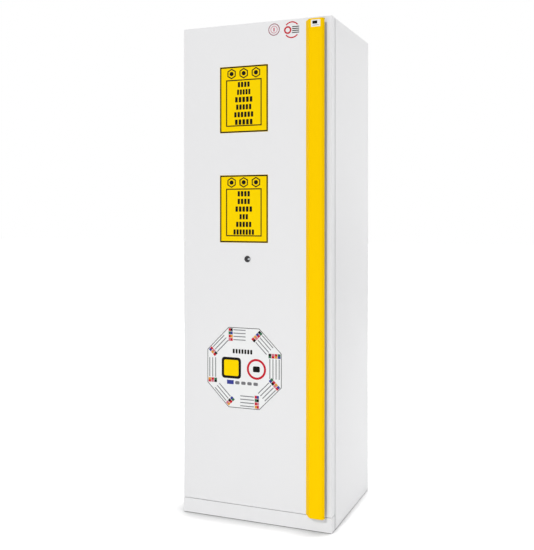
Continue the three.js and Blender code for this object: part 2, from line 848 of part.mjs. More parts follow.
function handleNose(inset) {
  const centre = [handleWidth - handleNoseRadius, handleNoseRadius - handleDepth];
  return arc(centre, handleNoseRadius - inset, -Math.PI / 2, 0);
}

// The bar's section: a hollow box on the door, and a hooked nose that the fingers reach behind.
function handleSection() {
  const innerFrontY = handleWall - handleDepth;
  const shape = outline([
    [0, 0],
    ...handleShoulder(0),
    ...handleNose(0),
    [handleWidth, handleLipY - handleWall],
    [handleWidth - handleWall, handleLipY],
    [handleWidth - handleWall * 2, handleLipY],
    [handleWidth - handleWall * 2, handleLipY - handleWall],
    [handleWidth - handleWall, handleLipY - handleWall * 2],
    ...handleNose(handleWall).reverse(),
    [handleWebX + handleWall, innerFrontY],
    [handleWebX + handleWall, 0],
  ]);
  const hollow = [
    [handleWall * 2, -handleWall],
    ...handleShoulder(handleWall),
    [handleWebX, innerFrontY],
    [handleWebX, -handleWall],
  ];
  shape.holes.push(new THREE.Path(hollow.map(([u, v]) => new THREE.Vector2(u, v))));
  return shape;
}

function handleProfile() {
  const bar = raise(handleSection(), 0, handleTopZ - handleBottomZ - 2 * handleCapThickness);
  const place = [handleLeftX, doorFrontY, handleBottomZ + handleCapThickness];
  return mesh('handle_profile', bar, signalYellow, place);
}

// End cap: a plate with the bar's full outline and a plug that enters the hollow.
function handleCap(name, atTop) {
  const plate = outline([
    [0, 0],
    ...handleShoulder(0),
    ...handleNose(0),
    [handleWidth, handleLipY],
    [handleWebX + handleWall, handleLipY],
    [handleWebX + handleWall, 0],
  ]);
  const plugBackY = -handleWall - fitClearance;
  const plugFrontY = handleWall + fitClearance - handleDepth;
  const plug = outline([
    [handleSlantWidth, plugBackY],
    [handleWebX - fitClearance, plugBackY],
    [handleWebX - fitClearance, plugFrontY],
    [shoulderX, plugFrontY],
    [handleSlantWidth, shoulderY],
  ]);
  const direction = atTop ? -1 : 1;
  const plugRange = [-direction * handleCapThickness / 2, direction * handlePlugDepth].sort((a, b) => a - b);
  const plateRange = [0, -direction * handleCapThickness].sort((a, b) => a - b);
  const cap = join(
    raise(plate, plateRange[0], plateRange[1]),
    raise(plug, plugRange[0], plugRange[1]),
  );
  const seatZ = atTop ? handleTopZ - handleCapThickness : handleBottomZ + handleCapThickness;
  return mesh(name, cap, signalYellow, [handleLeftX, doorFrontY, seatZ]);
}

// Lock: flanged barrel with its nut, a cylinder with a keyhole, and the cam on its tail

const camFrontY = lockDepth + camStandoff;
const camBackY = camFrontY + camThickness;

function lockHousing() {
  const y = doorFrontY;
  const outer = turn([
    [0, y - lockFlangeHeight],
    [lockFlangeRadius - lockFlangeEdge, y - lockFlangeHeight],
    [lockFlangeRadius, y - lockFlangeHeight + lockFlangeEdge],
    [lockFlangeRadius, y],
    [lockBarrelRadius, y],
    [lockBarrelRadius, lockDepth],
    [0, lockDepth],
  ], roundSides);
  const nut = rod(lockNutRadius, doorBackY, lockDepth, hexSides);
  const boreRadius = lockPlugRadius + fitClearance;
  const bore = rod(boreRadius, y - lockFlangeHeight - overrun, lockDepth + overrun, roundSides);
  const housing = cut(join(outer, nut), bore);
  return mesh('lock_housing', housing.rotateX(-Math.PI / 2), bareSteel, [lockOffset, 0, lockHeight]);
}

function lockCylinder() {
  const faceY = doorFrontY - lockFlangeHeight + lockPlugRecess;
  const plug = turn([
    [0, faceY],
    [lockPlugRadius, faceY],
    [lockPlugRadius, lockDepth],
    [camShaftRadius, lockDepth],
    [camShaftRadius, camBackY + camTailLength],
    [0, camBackY + camTailLength],
  ], roundSides);
  const keyhole = block(
    [-keyholeWidth / 2, -keyholeHeight / 2, faceY - overrun],
    [keyholeWidth / 2, keyholeHeight / 2, faceY + keyholeDepth],
  );
  const cylinder = cut(plug, keyhole);
  return mesh('lock_cylinder', cylinder.rotateX(-Math.PI / 2), chromePlate, [lockOffset, 0, lockHeight]);
}

// The cam points to the side while the lock is open and turns down behind the keeper.
function lockCam() {
  const halfCam = camWidth / 2;
  const tip = camLength - halfCam;
  const shape = outline([
    ...arc([0, 0], halfCam, Math.PI / 2, Math.PI),
    ...arc([0, 0], halfCam, Math.PI, Math.PI + Math.PI / 2).slice(1),
    ...arc([tip, 0], halfCam, -Math.PI / 2, 0),
    ...arc([tip, 0], halfCam, 0, Math.PI / 2).slice(1),
  ]);
  const plate = drawThroughY(shape, camFrontY, camBackY);
  const holeRadius = camShaftRadius + fitClearance;
  const hole = rodAlongY(holeRadius, camFrontY - overrun, camBackY + overrun, 0, 0, smallSides);
  return mesh('lock_cam', cut(plate, hole), zincSteel, [lockOffset, 0, lockHeight]);
}

// Keeper: a folded hook on the front of the lower divider, open at the top.
function lockKeeper() {
  const lipFrontY = camFrontY - keeperCamGap - keeperThickness;
  const tipZ = lockHeight - camLength;
  const underZ = tipZ - keeperTipGap;
  const lipTopZ = tipZ + keeperGrip;
  const shape = outline([
    [dividerFrontY, underZ],
    [dividerFrontY, lipTopZ],
    [dividerFrontY - keeperThickness, lipTopZ],
    [dividerFrontY - keeperThickness, underZ + keeperThickness],
    [lipFrontY + keeperThickness, underZ + keeperThickness],
    [lipFrontY + keeperThickness, lipTopZ],
    [lipFrontY, lipTopZ],
    [lipFrontY, underZ],
  ]);
  const hook = drawThroughX(shape, lockOffset - keeperWidth / 2, lockOffset + keeperWidth / 2);
  return mesh('lock_keeper', hook, zincSteel);
}

// Hinges: interleaved knuckles on a headed pin, one leaf on the frame and one on the door

const knuckleLength = (hingeHeight - knuckleEndGap * (hingeKnuckles - 1)) / hingeKnuckles;
const knucklePitch = knuckleLength + knuckleEndGap;
const leafEndX = -halfWidth + leafWidth - hingeAxisX;
const leafFaceY = doorGap / 2 - leafThickness;

// A leaf about the hinge axis. onDoor picks the odd knuckles and the side of the gap.
function hingeLeaf(onDoor) {
  const side = onDoor ? -1 : 1;
  const plateStartX = knuckleRadius + leafCornerGap;
  const tongueStartX = (pinRadius + knuckleRadius) / 2;
  const y = [side * leafFaceY, side * doorGap / 2].sort((a, b) => a - b);
  const plate = block([plateStartX, y[0], 0], [leafEndX, y[1], hingeHeight]);
  const parts = [plate];
  const bores = [];
  for (let i = onDoor ? 1 : 0; i < hingeKnuckles; i += 2) {
    const low = i * knucklePitch;
    const high = low + knuckleLength;
    parts.push(rod(knuckleRadius, low, high, smallSides));
    parts.push(block([tongueStartX, y[0], low], [plateStartX + leafThickness, y[1], high]));
    bores.push(rod(pinRadius + fitClearance, low - overrun, high + overrun, smallSides));
  }
  return cut(join(...parts), ...bores);
}

function hingePin() {
  return turn([
    [0, -pinHeadHeight],
    [pinHeadRadius - pinHeadHeight / 2, -pinHeadHeight],
    [pinHeadRadius, -fitClearance],
    [pinRadius, -fitClearance],
    [pinRadius, hingeHeight + fitClearance],
    [pinHeadRadius, hingeHeight + fitClearance],
    [pinHeadRadius - pinHeadHeight / 2, hingeHeight + pinHeadHeight],
    [0, hingeHeight + pinHeadHeight],
  ], smallSides);
}

function hinges() {
  return hingeShares.flatMap((share, i) => {
    const place = [hingeAxisX, hingeAxisY, doorBottomZ + doorHeight * share - hingeHeight / 2];
    return [
      mesh(`hinge_${hingeNames[i]}_frame_leaf`, hingeLeaf(false), bareSteel, place),
      mesh(`hinge_${hingeNames[i]}_door_leaf`, hingeLeaf(true), bareSteel, place),
      mesh(`hinge_${hingeNames[i]}_pin`, hingePin(), chromePlate, place),
    ];
  });
}

// The whole cabinet

const shell = groupOf(
  sidePanel('left_side_panel', -1),
  sidePanel('right_side_panel', 1),
  backPanel(),
  topPanel(),
  bottomPan(),
  frontFrame(),
  frameSeal(),
  plinthPanel(),
  baseFrame(),
  ...levellingFeet(),
);
const interior = groupOf(
  ...insulation(),
  ...lining(),
  divider('lower_divider', lowerDividerUnderZ, lowerDividerTopZ, greyLiner),
  divider('upper_divider', upperDividerUnderZ, upperDividerTopZ, greyLiner),
  lockKeeper(),
  ...trays(),
  sumpGrid(),
);
const ventilation = groupOf(
  ventDuct('exhaust_duct', 1, true),
  ventDuct('supply_duct', -1, false),
  plenumBox('exhaust_plenum_box', 1),
  plenumBox('supply_plenum_box', -1),
  spigot('exhaust_spigot', 1),
  spigot('supply_spigot', -1),
  flap('exhaust_flap', 1),
  flap('supply_flap', -1),
);
const door = groupOf(
  doorOuterSkin(),
  doorCore(),
  doorInnerPanel(),
  doorGasket(),
  handleProfile(),
  handleCap('handle_cap_top', true),
  handleCap('handle_cap_bottom', false),
  lockHousing(),
  lockCylinder(),
  lockCam(),
);
const cabinet = groupOf(shell, interior, ventilation, door, ...hinges());

export default cabinet;
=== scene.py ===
import itertools
import json
import math

import bmesh
import bpy
from mathutils import Matrix, Vector

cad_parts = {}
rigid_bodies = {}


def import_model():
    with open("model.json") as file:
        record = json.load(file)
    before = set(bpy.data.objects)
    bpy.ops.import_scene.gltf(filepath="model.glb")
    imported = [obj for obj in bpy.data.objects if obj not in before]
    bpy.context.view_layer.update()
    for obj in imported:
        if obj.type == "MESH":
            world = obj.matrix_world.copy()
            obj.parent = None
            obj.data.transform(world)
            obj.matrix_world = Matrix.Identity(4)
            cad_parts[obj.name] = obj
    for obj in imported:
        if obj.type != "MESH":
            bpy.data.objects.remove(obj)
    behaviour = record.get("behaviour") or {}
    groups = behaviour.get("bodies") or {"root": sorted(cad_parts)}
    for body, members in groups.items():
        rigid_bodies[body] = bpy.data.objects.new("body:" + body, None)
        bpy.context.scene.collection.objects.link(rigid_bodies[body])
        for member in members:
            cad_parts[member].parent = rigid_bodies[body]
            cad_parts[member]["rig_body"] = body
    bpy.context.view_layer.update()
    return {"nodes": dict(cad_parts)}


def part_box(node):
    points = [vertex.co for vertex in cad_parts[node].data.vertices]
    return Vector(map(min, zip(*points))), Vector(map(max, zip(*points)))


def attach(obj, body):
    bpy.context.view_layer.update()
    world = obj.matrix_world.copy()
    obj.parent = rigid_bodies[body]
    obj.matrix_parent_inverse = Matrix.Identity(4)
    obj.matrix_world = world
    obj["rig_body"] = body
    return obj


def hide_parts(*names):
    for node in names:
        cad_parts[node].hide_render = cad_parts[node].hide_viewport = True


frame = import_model()

# Sizes are in metres. X runs right as seen from the front, Y to the back and Z up.
MM = 0.001
FULL_TURN = 2 * math.pi
QUARTER_TURN = math.pi / 2
EIGHTH_TURN = math.pi / 4

# The photograph's camera, fitted to the cabinet's edges
IMAGE_HEIGHT_PX = 550
FOCAL_PX = 801.33
HORIZON_PX = 216.53
SENSOR = 36.0
CAMERA_PLACE = (1.16285, -3.02409, 1.1438)
CAMERA_YAW = math.radians(21.934)
CAMERA_REACH = 50.0


# Camera and lamps

def add_to_scene(name, data):
    """A new object of a camera, lamp or mesh."""
    thing = bpy.data.objects.new(name, data)
    bpy.context.scene.collection.objects.link(thing)
    return thing


def make_camera():
    """A level camera, whose picture is shifted to bring the horizon to the photograph's row."""
    data = bpy.data.cameras.new("photo_camera")
    data.lens = FOCAL_PX * SENSOR / IMAGE_HEIGHT_PX
    data.sensor_width = SENSOR
    data.shift_y = (HORIZON_PX - IMAGE_HEIGHT_PX / 2) / IMAGE_HEIGHT_PX
    data.clip_end = CAMERA_REACH
    camera = add_to_scene("photo_camera", data)
    camera.location = CAMERA_PLACE
    camera.rotation_euler = (QUARTER_TURN, 0.0, CAMERA_YAW)
    bpy.context.scene.camera = camera


def area_light(name, place, target, size, power):
    """A square lamp that looks at a target and isn't seen itself."""
    data = bpy.data.lights.new(name, "AREA")
    data.shape = "SQUARE"
    data.size = size
    data.energy = power
    lamp = add_to_scene(name, data)
    lamp.visible_camera = False
    lamp.location = place
    lamp.rotation_euler = (Vector(target) - Vector(place)).to_track_quat("-Z", "Y").to_euler()


# Shader nodes

WHITE = (1.0, 1.0, 1.0, 1.0)


def feed(links, socket, value):
    """Links a socket to another node's output, or sets it to a plain value."""
    if isinstance(value, bpy.types.NodeSocket):
        links.new(value, socket)
    else:
        socket.default_value = value


def math_node(nodes, links, operation, first, second):
    node = nodes.new("ShaderNodeMath")
    node.operation = operation
    for socket, value in zip(node.inputs, (first, second)):
        feed(links, socket, value)
    return node.outputs["Value"]


def scaled(nodes, links, colour, factor):
    """A colour times a factor."""
    node = nodes.new("ShaderNodeVectorMath")
    node.operation = "SCALE"
    feed(links, node.inputs["Vector"], colour)
    feed(links, node.inputs["Scale"], factor)
    return node.outputs["Vector"]


def mixed_shader(nodes, links, share, first, second):
    """The first shader where the share is 0, and the second where it is 1."""
    node = nodes.new("ShaderNodeMixShader")
    for socket, source in zip(node.inputs, (share, first, second)):
        links.new(source, socket)
    return node.outputs["Shader"]


def object_place(nodes):
    return nodes.new("ShaderNodeTexCoord").outputs["Object"]


def noise(nodes, links, place, scale, detail):
    node = nodes.new("ShaderNodeTexNoise")
    for label, value in (("Vector", place), ("Scale", scale), ("Detail", detail)):
        feed(links, node.inputs[label], value)
    return node.outputs["Fac"]


# Shader node groups

NUMBER = "NodeSocketFloat"
COLOUR = "NodeSocketColor"
VECTOR = "NodeSocketVector"
PATTERN_MIDDLE = 0.5
DRIFT_DETAIL = 3.0
FLECK_DETAIL = 1.0
PEEL_DETAIL = 2.0
GRAIN_DETAIL = 1.0
SMEAR_SCALE = 5.0
SMEAR_DETAIL = 4.0
LINE_DETAIL = 2.0


def make_group(name, inputs, outputs):
    """A shader group with its inputs, given as (name, type, default), and its outputs, as (name, type)."""
    group = bpy.data.node_groups.new(name, "ShaderNodeTree")
    for label, kind, value in inputs:
        socket = group.interface.new_socket(name=label, in_out="INPUT", socket_type=kind)
        socket.default_value = value
    for label, kind in outputs:
        group.interface.new_socket(name=label, in_out="OUTPUT", socket_type=kind)
    given = group.nodes.new("NodeGroupInput").outputs
    result = group.nodes.new("NodeGroupOutput").inputs
    return group, given, result


def swing(nodes, links, pattern, amount):
    """A pattern of 0 to 1 as a change to both sides of zero."""
    about_zero = math_node(nodes, links, "SUBTRACT", pattern, PATTERN_MIDDLE)
    return math_node(nodes, links, "MULTIPLY", about_zero, amount)


def lightened(nodes, links, colour, change):
    """A colour made lighter by a share of itself, or darker where the share is below zero."""
    return scaled(nodes, links, colour, math_node(nodes, links, "ADD", change, 1.0))


def group_surface_tone():
    """Slow, faint change of a colour over a surface, with a fine fleck in it."""
    group, given, result = make_group(
        "surface_tone",
        [("Colour", COLOUR, (0.8, 0.8, 0.8, 1.0)), ("Drift", NUMBER, 0.02), ("Drift Scale", NUMBER, 3.0),
         ("Fleck", NUMBER, 0.01), ("Fleck Scale", NUMBER, 900.0)],
        [("Colour", COLOUR)],
    )
    nodes, links = group.nodes, group.links
    place = object_place(nodes)
    slow = noise(nodes, links, place, given["Drift Scale"], DRIFT_DETAIL)
    slow = swing(nodes, links, slow, given["Drift"])
    fine = noise(nodes, links, place, given["Fleck Scale"], FLECK_DETAIL)
    fine = swing(nodes, links, fine, given["Fleck"])
    change = math_node(nodes, links, "ADD", slow, fine)
    links.new(lightened(nodes, links, given["Colour"], change), result["Colour"])
    return group


def group_coat_relief():
    """Orange-peel relief of a sprayed or moulded skin, with the roughness that goes with it."""
    group, given, result = make_group(
        "coat_relief",
        [("Peel Scale", NUMBER, 450.0), ("Grain Scale", NUMBER, 2200.0), ("Grain", NUMBER, 0.3),
         ("Roughness", NUMBER, 0.4), ("Roughness Change", NUMBER, 0.06)],
        [("Height", NUMBER), ("Roughness", NUMBER)],
    )
    nodes, links = group.nodes, group.links
    place = object_place(nodes)
    peel = noise(nodes, links, place, given["Peel Scale"], PEEL_DETAIL)
    grain = noise(nodes, links, place, given["Grain Scale"], GRAIN_DETAIL)
    grain = math_node(nodes, links, "MULTIPLY", grain, given["Grain"])
    links.new(math_node(nodes, links, "ADD", peel, grain), result["Height"])
    smear = noise(nodes, links, place, SMEAR_SCALE, SMEAR_DETAIL)
    smear = swing(nodes, links, smear, given["Roughness Change"])
    links.new(math_node(nodes, links, "ADD", smear, given["Roughness"]), result["Roughness"])
    return group


def group_brushed_lines():
    """Fine lines drawn along one axis, as brushing or rolling leaves them."""
    group, given, result = make_group(
        "brushed_lines",
        [("Stretch", VECTOR, (1.0, 1.0, 0.02)), ("Line Scale", NUMBER, 1800.0),
         ("Roughness", NUMBER, 0.3), ("Roughness Change", NUMBER, 0.15)],
        [("Lines", NUMBER), ("Roughness", NUMBER)],
    )
    nodes, links = group.nodes, group.links
    stretched = nodes.new("ShaderNodeVectorMath")
    stretched.operation = "MULTIPLY"
    for socket, source in zip(stretched.inputs, (object_place(nodes), given["Stretch"])):
        links.new(source, socket)
    lines = noise(nodes, links, stretched.outputs["Vector"], given["Line Scale"], LINE_DETAIL)
    links.new(lines, result["Lines"])
    spread = swing(nodes, links, lines, given["Roughness Change"])
    links.new(math_node(nodes, links, "ADD", spread, given["Roughness"]), result["Roughness"])
    return group


def group_zinc_spangle():
    """The faint crystal pattern of zinc-coated sheet."""
    group, given, result = make_group(
        "zinc_spangle",
        [("Colour", COLOUR, (0.7, 0.7, 0.7, 1.0)), ("Cell Scale", NUMBER, 70.0),
         ("Strength", NUMBER, 0.16)],
        [("Colour", COLOUR)],
    )
    nodes, links = group.nodes, group.links
    cells = nodes.new("ShaderNodeTexVoronoi")
    links.new(object_place(nodes), cells.inputs["Vector"])
    links.new(given["Cell Scale"], cells.inputs["Scale"])
    tint = nodes.new("ShaderNodeSeparateColor")
    links.new(cells.outputs["Color"], tint.inputs["Color"])
    change = swing(nodes, links, tint.outputs["Red"], given["Strength"])
    links.new(lightened(nodes, links, given["Colour"], change), result["Colour"])
    return group


GROUPS = {
    "tone": group_surface_tone(),
    "relief": group_coat_relief(),
    "lines": group_brushed_lines(),
    "spangle": group_zinc_spangle(),
}


# Materials

CHANNEL_MAX = 255
SRGB_KNEE = 0.04045
SRGB_SLOPE = 12.92
SRGB_OFFSET = 0.055
SRGB_POWER = 2.4

# The Mix node has several sockets of each name: these are the places of its two colours and its result
MIX_FIRST_COLOUR = 6
MIX_SECOND_COLOUR = 7
MIX_RESULT_COLOUR = 2

MATERIALS = {}


def linear(red, green, blue):
    """An sRGB colour of 0 to 255 as the linear colour that a shader socket takes."""
    def channel(value):
        share = value / CHANNEL_MAX
        if share <= SRGB_KNEE:
            return share / SRGB_SLOPE
        return ((share + SRGB_OFFSET) / (1 + SRGB_OFFSET)) ** SRGB_POWER
    return channel(red), channel(green), channel(blue), 1.0


def placed(nodes, key, **values):
    """The outputs of a shader group in a material, with its own values for the group's inputs."""
    node = nodes.new("ShaderNodeGroup")
    node.node_tree = GROUPS[key]
    for label, value in values.items():
        node.inputs[label.replace("_", " ")].default_value = value
    return node.outputs


def start_material(name):
    """A new material, kept under its name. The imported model's own materials may have the same names."""
    material = bpy.data.materials.new(name)
    material.use_nodes = True
    MATERIALS[name] = material
    nodes, links = material.node_tree.nodes, material.node_tree.links
    return nodes, links, nodes["Principled BSDF"]


def add_bump(nodes, links, height, shader, strength, depth):
    bump = nodes.new("ShaderNodeBump")
    bump.inputs["Strength"].default_value = strength
    bump.inputs["Distance"].default_value = depth
    links.new(height, bump.inputs["Height"])
    links.new(bump.outputs["Normal"], shader.inputs["Normal"])


def softened_cast(nodes, links, colour, cast):
    """A colour as the eye sees it, with another tone for the light that it throws on its neighbours."""
    path = nodes.new("ShaderNodeLightPath")
    mix = nodes.new("ShaderNodeMix")
    mix.data_type = "RGBA"
    links.new(path.outputs["Is Diffuse Ray"], mix.inputs["Factor"])
    links.new(colour, mix.inputs[MIX_FIRST_COLOUR])
    mix.inputs[MIX_SECOND_COLOUR].default_value = cast
    return mix.outputs[MIX_RESULT_COLOUR]


def coated(name, colour, roughness, peel=450.0, relief=0.12, drift=0.012, fleck=0.012, depth=0.05 * MM,
           gloss=0.4, cast=None):
    """Sprayed or moulded skin: an even colour with faint drift, orange peel and a soft gloss.

    The cast is the tone that the skin throws on its neighbours, where that isn't its own colour.
    """
    nodes, links, shader = start_material(name)
    shader.inputs["Specular IOR Level"].default_value = gloss
    surface = placed(nodes, "tone", Colour=colour, Drift=drift, Fleck=fleck)["Colour"]
    if cast:
        surface = softened_cast(nodes, links, surface, cast)
    coat = placed(nodes, "relief", Peel_Scale=peel, Roughness=roughness)
    links.new(surface, shader.inputs["Base Color"])
    links.new(coat["Roughness"], shader.inputs["Roughness"])
    add_bump(nodes, links, coat["Height"], shader, strength=relief, depth=depth)


def brushed(name, colour, roughness, stretch, relief=0.1):
    """Bare metal with fine lines along one axis."""
    nodes, links, shader = start_material(name)
    shader.inputs["Metallic"].default_value = 1.0
    tone = placed(nodes, "tone", Colour=colour, Drift=0.05, Drift_Scale=9.0, Fleck=0.02)
    lines = placed(nodes, "lines", Stretch=stretch, Roughness=roughness)
    links.new(tone["Colour"], shader.inputs["Base Color"])
    links.new(lines["Roughness"], shader.inputs["Roughness"])
    add_bump(nodes, links, lines["Lines"], shader, strength=relief, depth=0.02 * MM)


def zinc_plated(name, colour, roughness):
    """Zinc-coated sheet: a dull metal with a faint crystal pattern."""
    nodes, links, shader = start_material(name)
    shader.inputs["Metallic"].default_value = 0.85
    spangle = placed(nodes, "spangle", Colour=colour)
    coat = placed(nodes, "relief", Peel_Scale=220.0, Roughness=roughness, Roughness_Change=0.14)
    links.new(spangle["Colour"], shader.inputs["Base Color"])
    links.new(coat["Roughness"], shader.inputs["Roughness"])
    add_bump(nodes, links, coat["Height"], shader, strength=0.08, depth=0.03 * MM)


def print_ink(name, colour, roughness=0.55):
    """Flat printed ink on a sign, with a faint film texture."""
    coated(name, colour, roughness, peel=900.0, relief=0.04, drift=0.02, fleck=0.03,
           depth=0.02 * MM, gloss=0.03)


# Paints, plastics, metals and rubbers of the cabinet, and the signs' inks
coated("white_lacquer", linear(233, 233, 234), roughness=0.42)
coated("signal_yellow", linear(255, 207, 1), roughness=0.4, peel=380.0, gloss=0.01,
       cast=(0.62, 0.6, 0.54, 1.0))
coated("grey_liner", linear(222, 224, 224), roughness=0.5, peel=700.0, relief=0.08)
coated("fire_board", linear(208, 201, 187), roughness=0.95, peel=300.0, relief=0.5, fleck=0.12)
coated("dark_paint", linear(66, 68, 71), roughness=0.55, peel=350.0, relief=0.2)
coated("tray_plastic", linear(240, 240, 236), roughness=0.44, peel=1300.0, relief=0.2)
coated("duct_plastic", linear(178, 181, 184), roughness=0.5, peel=900.0, relief=0.1)
zinc_plated("zinc_steel", linear(188, 192, 196), roughness=0.42)
brushed("bare_steel", linear(160, 163, 167), roughness=0.34, stretch=(1.0, 1.0, 0.03))
brushed("chrome_plate", linear(222, 223, 225), roughness=0.16, stretch=(1.0, 1.0, 0.2), relief=0.03)
coated("black_rubber", linear(34, 34, 36), roughness=0.8, peel=600.0, relief=0.35)
coated("seal_strip", linear(84, 76, 72), roughness=0.9, peel=420.0, relief=0.6, fleck=0.1)
print_ink("sign_yellow", linear(253, 215, 0), roughness=0.4)
print_ink("sign_white", linear(238, 239, 239), roughness=0.4)
print_ink("ink_black", linear(26, 25, 24))
print_ink("ink_grey", linear(120, 121, 124))
print_ink("ink_red", linear(198, 38, 52))
print_ink("ink_pink", linear(206, 120, 136))
print_ink("ink_plum", linear(150, 74, 92))
print_ink("ink_blue", linear(62, 68, 146))
print_ink("ink_green", linear(58, 108, 76))
print_ink("ink_amber", linear(220, 152, 62))
coated("lock_dark", linear(56, 56, 58), roughness=0.4, peel=900.0, relief=0.06, gloss=0.3)


# Making pieces

SMOOTH_LIMIT = math.radians(32)
SHARP_LIMIT = math.radians(40)
FLAT_LIMIT = math.radians(0.5)
WELD = 0.02 * MM


def keep_piece(name, bm, material, body):
    """A bmesh as a named piece that rides on a body, smooth except at its sharp edges."""
    for face in bm.faces:
        face.smooth = True
    for edge in bm.edges:
        edge.smooth = len(edge.link_faces) == 2 and edge.calc_face_angle(0.0) < SMOOTH_LIMIT
    mesh = bpy.data.meshes.new(name)
    bm.to_mesh(mesh)
    bm.free()
    mesh.materials.append(MATERIALS[material])
    piece = add_to_scene(name, mesh)
    even = piece.modifiers.new("even_shading", "WEIGHTED_NORMAL")
    even.keep_sharp = True
    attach(piece, body)
    return piece


def finish_piece(name, bm, material, body):
    """A newly modelled bmesh as a piece, its faces turned outwards first."""
    bmesh.ops.recalc_face_normals(bm, faces=bm.faces)
    keep_piece(name, bm, material, body)


def round_edges(bm, edges, width, segments):
    bmesh.ops.bevel(bm, geom=edges, offset=width, offset_type="OFFSET", affect="EDGES",
                    segments=segments, profile=0.5, material=-1, clamp_overlap=True)


def dress(node, material, slot=None, width=0.6 * MM, segments=2):
    """A node's own shape with rounded edges, in a finish, standing for the node."""
    bm = bmesh.new()
    bm.from_mesh(frame["nodes"][node].data)
    bmesh.ops.remove_doubles(bm, verts=bm.verts, dist=WELD)
    bmesh.ops.dissolve_limit(bm, angle_limit=FLAT_LIMIT, verts=bm.verts, edges=bm.edges)
    sharp = [edge for edge in bm.edges
             if len(edge.link_faces) == 2 and edge.calc_face_angle(0.0) > SHARP_LIMIT]
    round_edges(bm, sharp, width, segments)
    body = frame["nodes"][node]["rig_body"]
    piece = keep_piece(node + "_finish", bm, material, body)
    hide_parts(node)


def dress_each(nodes, material, **how):
    for node in nodes:
        dress(node, material, **how)


def paint(node, material):
    """Gives a node that keeps its own mesh its finish."""
    mesh = frame["nodes"][node].data
    mesh.materials.clear()
    mesh.materials.append(MATERIALS[material])


# Flat shapes in X and Z, each drawn from a back plane in Y to a front plane

CORNER_STEPS = 4


def drawn_forward(bm, faces, back, front):
    """Raises flat faces in the back plane into a closed slab."""
    moved = bmesh.ops.extrude_face_region(bm, geom=faces)
    shifted = [item for item in moved["geom"] if isinstance(item, bmesh.types.BMVert)]
    bmesh.ops.translate(bm, verts=shifted, vec=(0.0, front - back, 0.0))


def flat_shape(bm, points, back, front):
    face = bm.faces.new([bm.verts.new((x, back, z)) for x, z in points])
    drawn_forward(bm, [face], back, front)


def ring_shape(bm, outer, inner, back, front):
    """A flat ring between two outlines with the same number of points."""
    edges = []
    for line in (outer, inner):
        verts = [bm.verts.new((x, back, z)) for x, z in line]
        edges += [bm.edges.new(pair) for pair in zip(verts, verts[1:] + verts[:1])]
    made = bmesh.ops.bridge_loops(bm, edges=edges)
    drawn_forward(bm, made["faces"], back, front)


def span_about(x, z, width, height):
    """The lowest and highest corner of a rectangle about a point."""
    return (x - width / 2, z - height / 2), (x + width / 2, z + height / 2)


def moved_to(place, points):
    return [(place[0] + x, place[1] + z) for x, z in points]


def inset_outline(low, high, step):
    """A rectangle set in from the one between two corners."""
    return [(low[0] + step, low[1] + step), (high[0] - step, low[1] + step),
            (high[0] - step, high[1] - step), (low[0] + step, high[1] - step)]


def rounded_outline(low, high, radius):
    """A rectangle with round corners."""
    corners = ((high[0] - radius, high[1] - radius), (low[0] + radius, high[1] - radius),
               (low[0] + radius, low[1] + radius), (high[0] - radius, low[1] + radius))
    points = []
    for quarter, (x, z) in enumerate(corners):
        for step in range(CORNER_STEPS + 1):
            angle = (quarter + step / CORNER_STEPS) * QUARTER_TURN
            points.append((x + radius * math.cos(angle), z + radius * math.sin(angle)))
    return points


def circle_outline(x, z, radius, count, turn=0.0):
    return [(x + radius * math.cos(turn + FULL_TURN * i / count),
             z + radius * math.sin(turn + FULL_TURN * i / count)) for i in range(count)]


def arc_band(x, z, outer, inner, start, end, steps):
    """A closed outline of a band between two radii over part of a turn."""
    angles = [start + (end - start) * i / steps for i in range(steps + 1)]
    return ([(x + outer * math.cos(a), z + outer * math.sin(a)) for a in angles]
            + [(x + inner * math.cos(a), z + inner * math.sin(a)) for a in reversed(angles)])


# Shell, interior and small parts in their finishes

HINGES = ("lower", "middle", "upper")
DUCTS = ("exhaust", "supply")


def dress_shell():
    dress_each(("left_side_panel", "right_side_panel", "back_panel", "top_panel"), "white_lacquer")
    dress("front_frame", "white_lacquer", width=1.0 * MM)
    dress("plinth_panel", "white_lacquer", segments=3)
    dress("bottom_pan", "zinc_steel", width=0.3 * MM)
    dress("base_frame", "dark_paint", width=1.0 * MM)
    dress("frame_seal", "seal_strip", width=0.5 * MM)
    feet = ("foot_front_left", "foot_front_right", "foot_rear_left", "foot_rear_right")
    dress_each(feet, "zinc_steel", width=0.5 * MM)
    for board in ("left", "right", "back", "top", "bottom"):
        paint(board + "_board", "fire_board")


def dress_interior():
    liners = ("left_liner", "right_liner", "back_liner", "top_liner", "bottom_liner")
    dress_each(liners, "grey_liner", width=0.8 * MM)
    dress_each(("lower_divider", "upper_divider"), "grey_liner", width=1.2 * MM)
    trays = ("acid_tray_lower", "acid_tray_upper", "base_tray_lower", "base_tray_upper")
    dress_each(trays, "tray_plastic", width=1.0 * MM, segments=3)
    dress_each(("flammables_shelf", "sump_tray"), "zinc_steel", width=0.5 * MM)
    dress("sump_grid", "zinc_steel", width=0.4 * MM, segments=1)
    dress("lock_keeper", "zinc_steel", width=0.5 * MM)
    for name in DUCTS:
        dress_each((name + "_duct", name + "_plenum_box"), "duct_plastic")
        dress_each((name + "_spigot", name + "_flap"), "bare_steel", width=0.3 * MM)


def dress_door():
    dress("door_outer_skin", "white_lacquer", width=0.8 * MM, segments=3)
    dress("door_inner_panel", "white_lacquer", width=0.9 * MM, segments=3)
    paint("door_core", "fire_board")
    dress("door_gasket", "black_rubber", width=1.2 * MM, segments=3)
    dress_each(("handle_profile", "handle_cap_top", "handle_cap_bottom"), "signal_yellow", width=0.5 * MM)
    dress("lock_housing", "lock_dark", "bare_steel", width=0.3 * MM)
    dress("lock_cylinder", "lock_dark", "chrome_plate", width=0.2 * MM)
    dress("lock_cam", "zinc_steel", width=0.4 * MM)


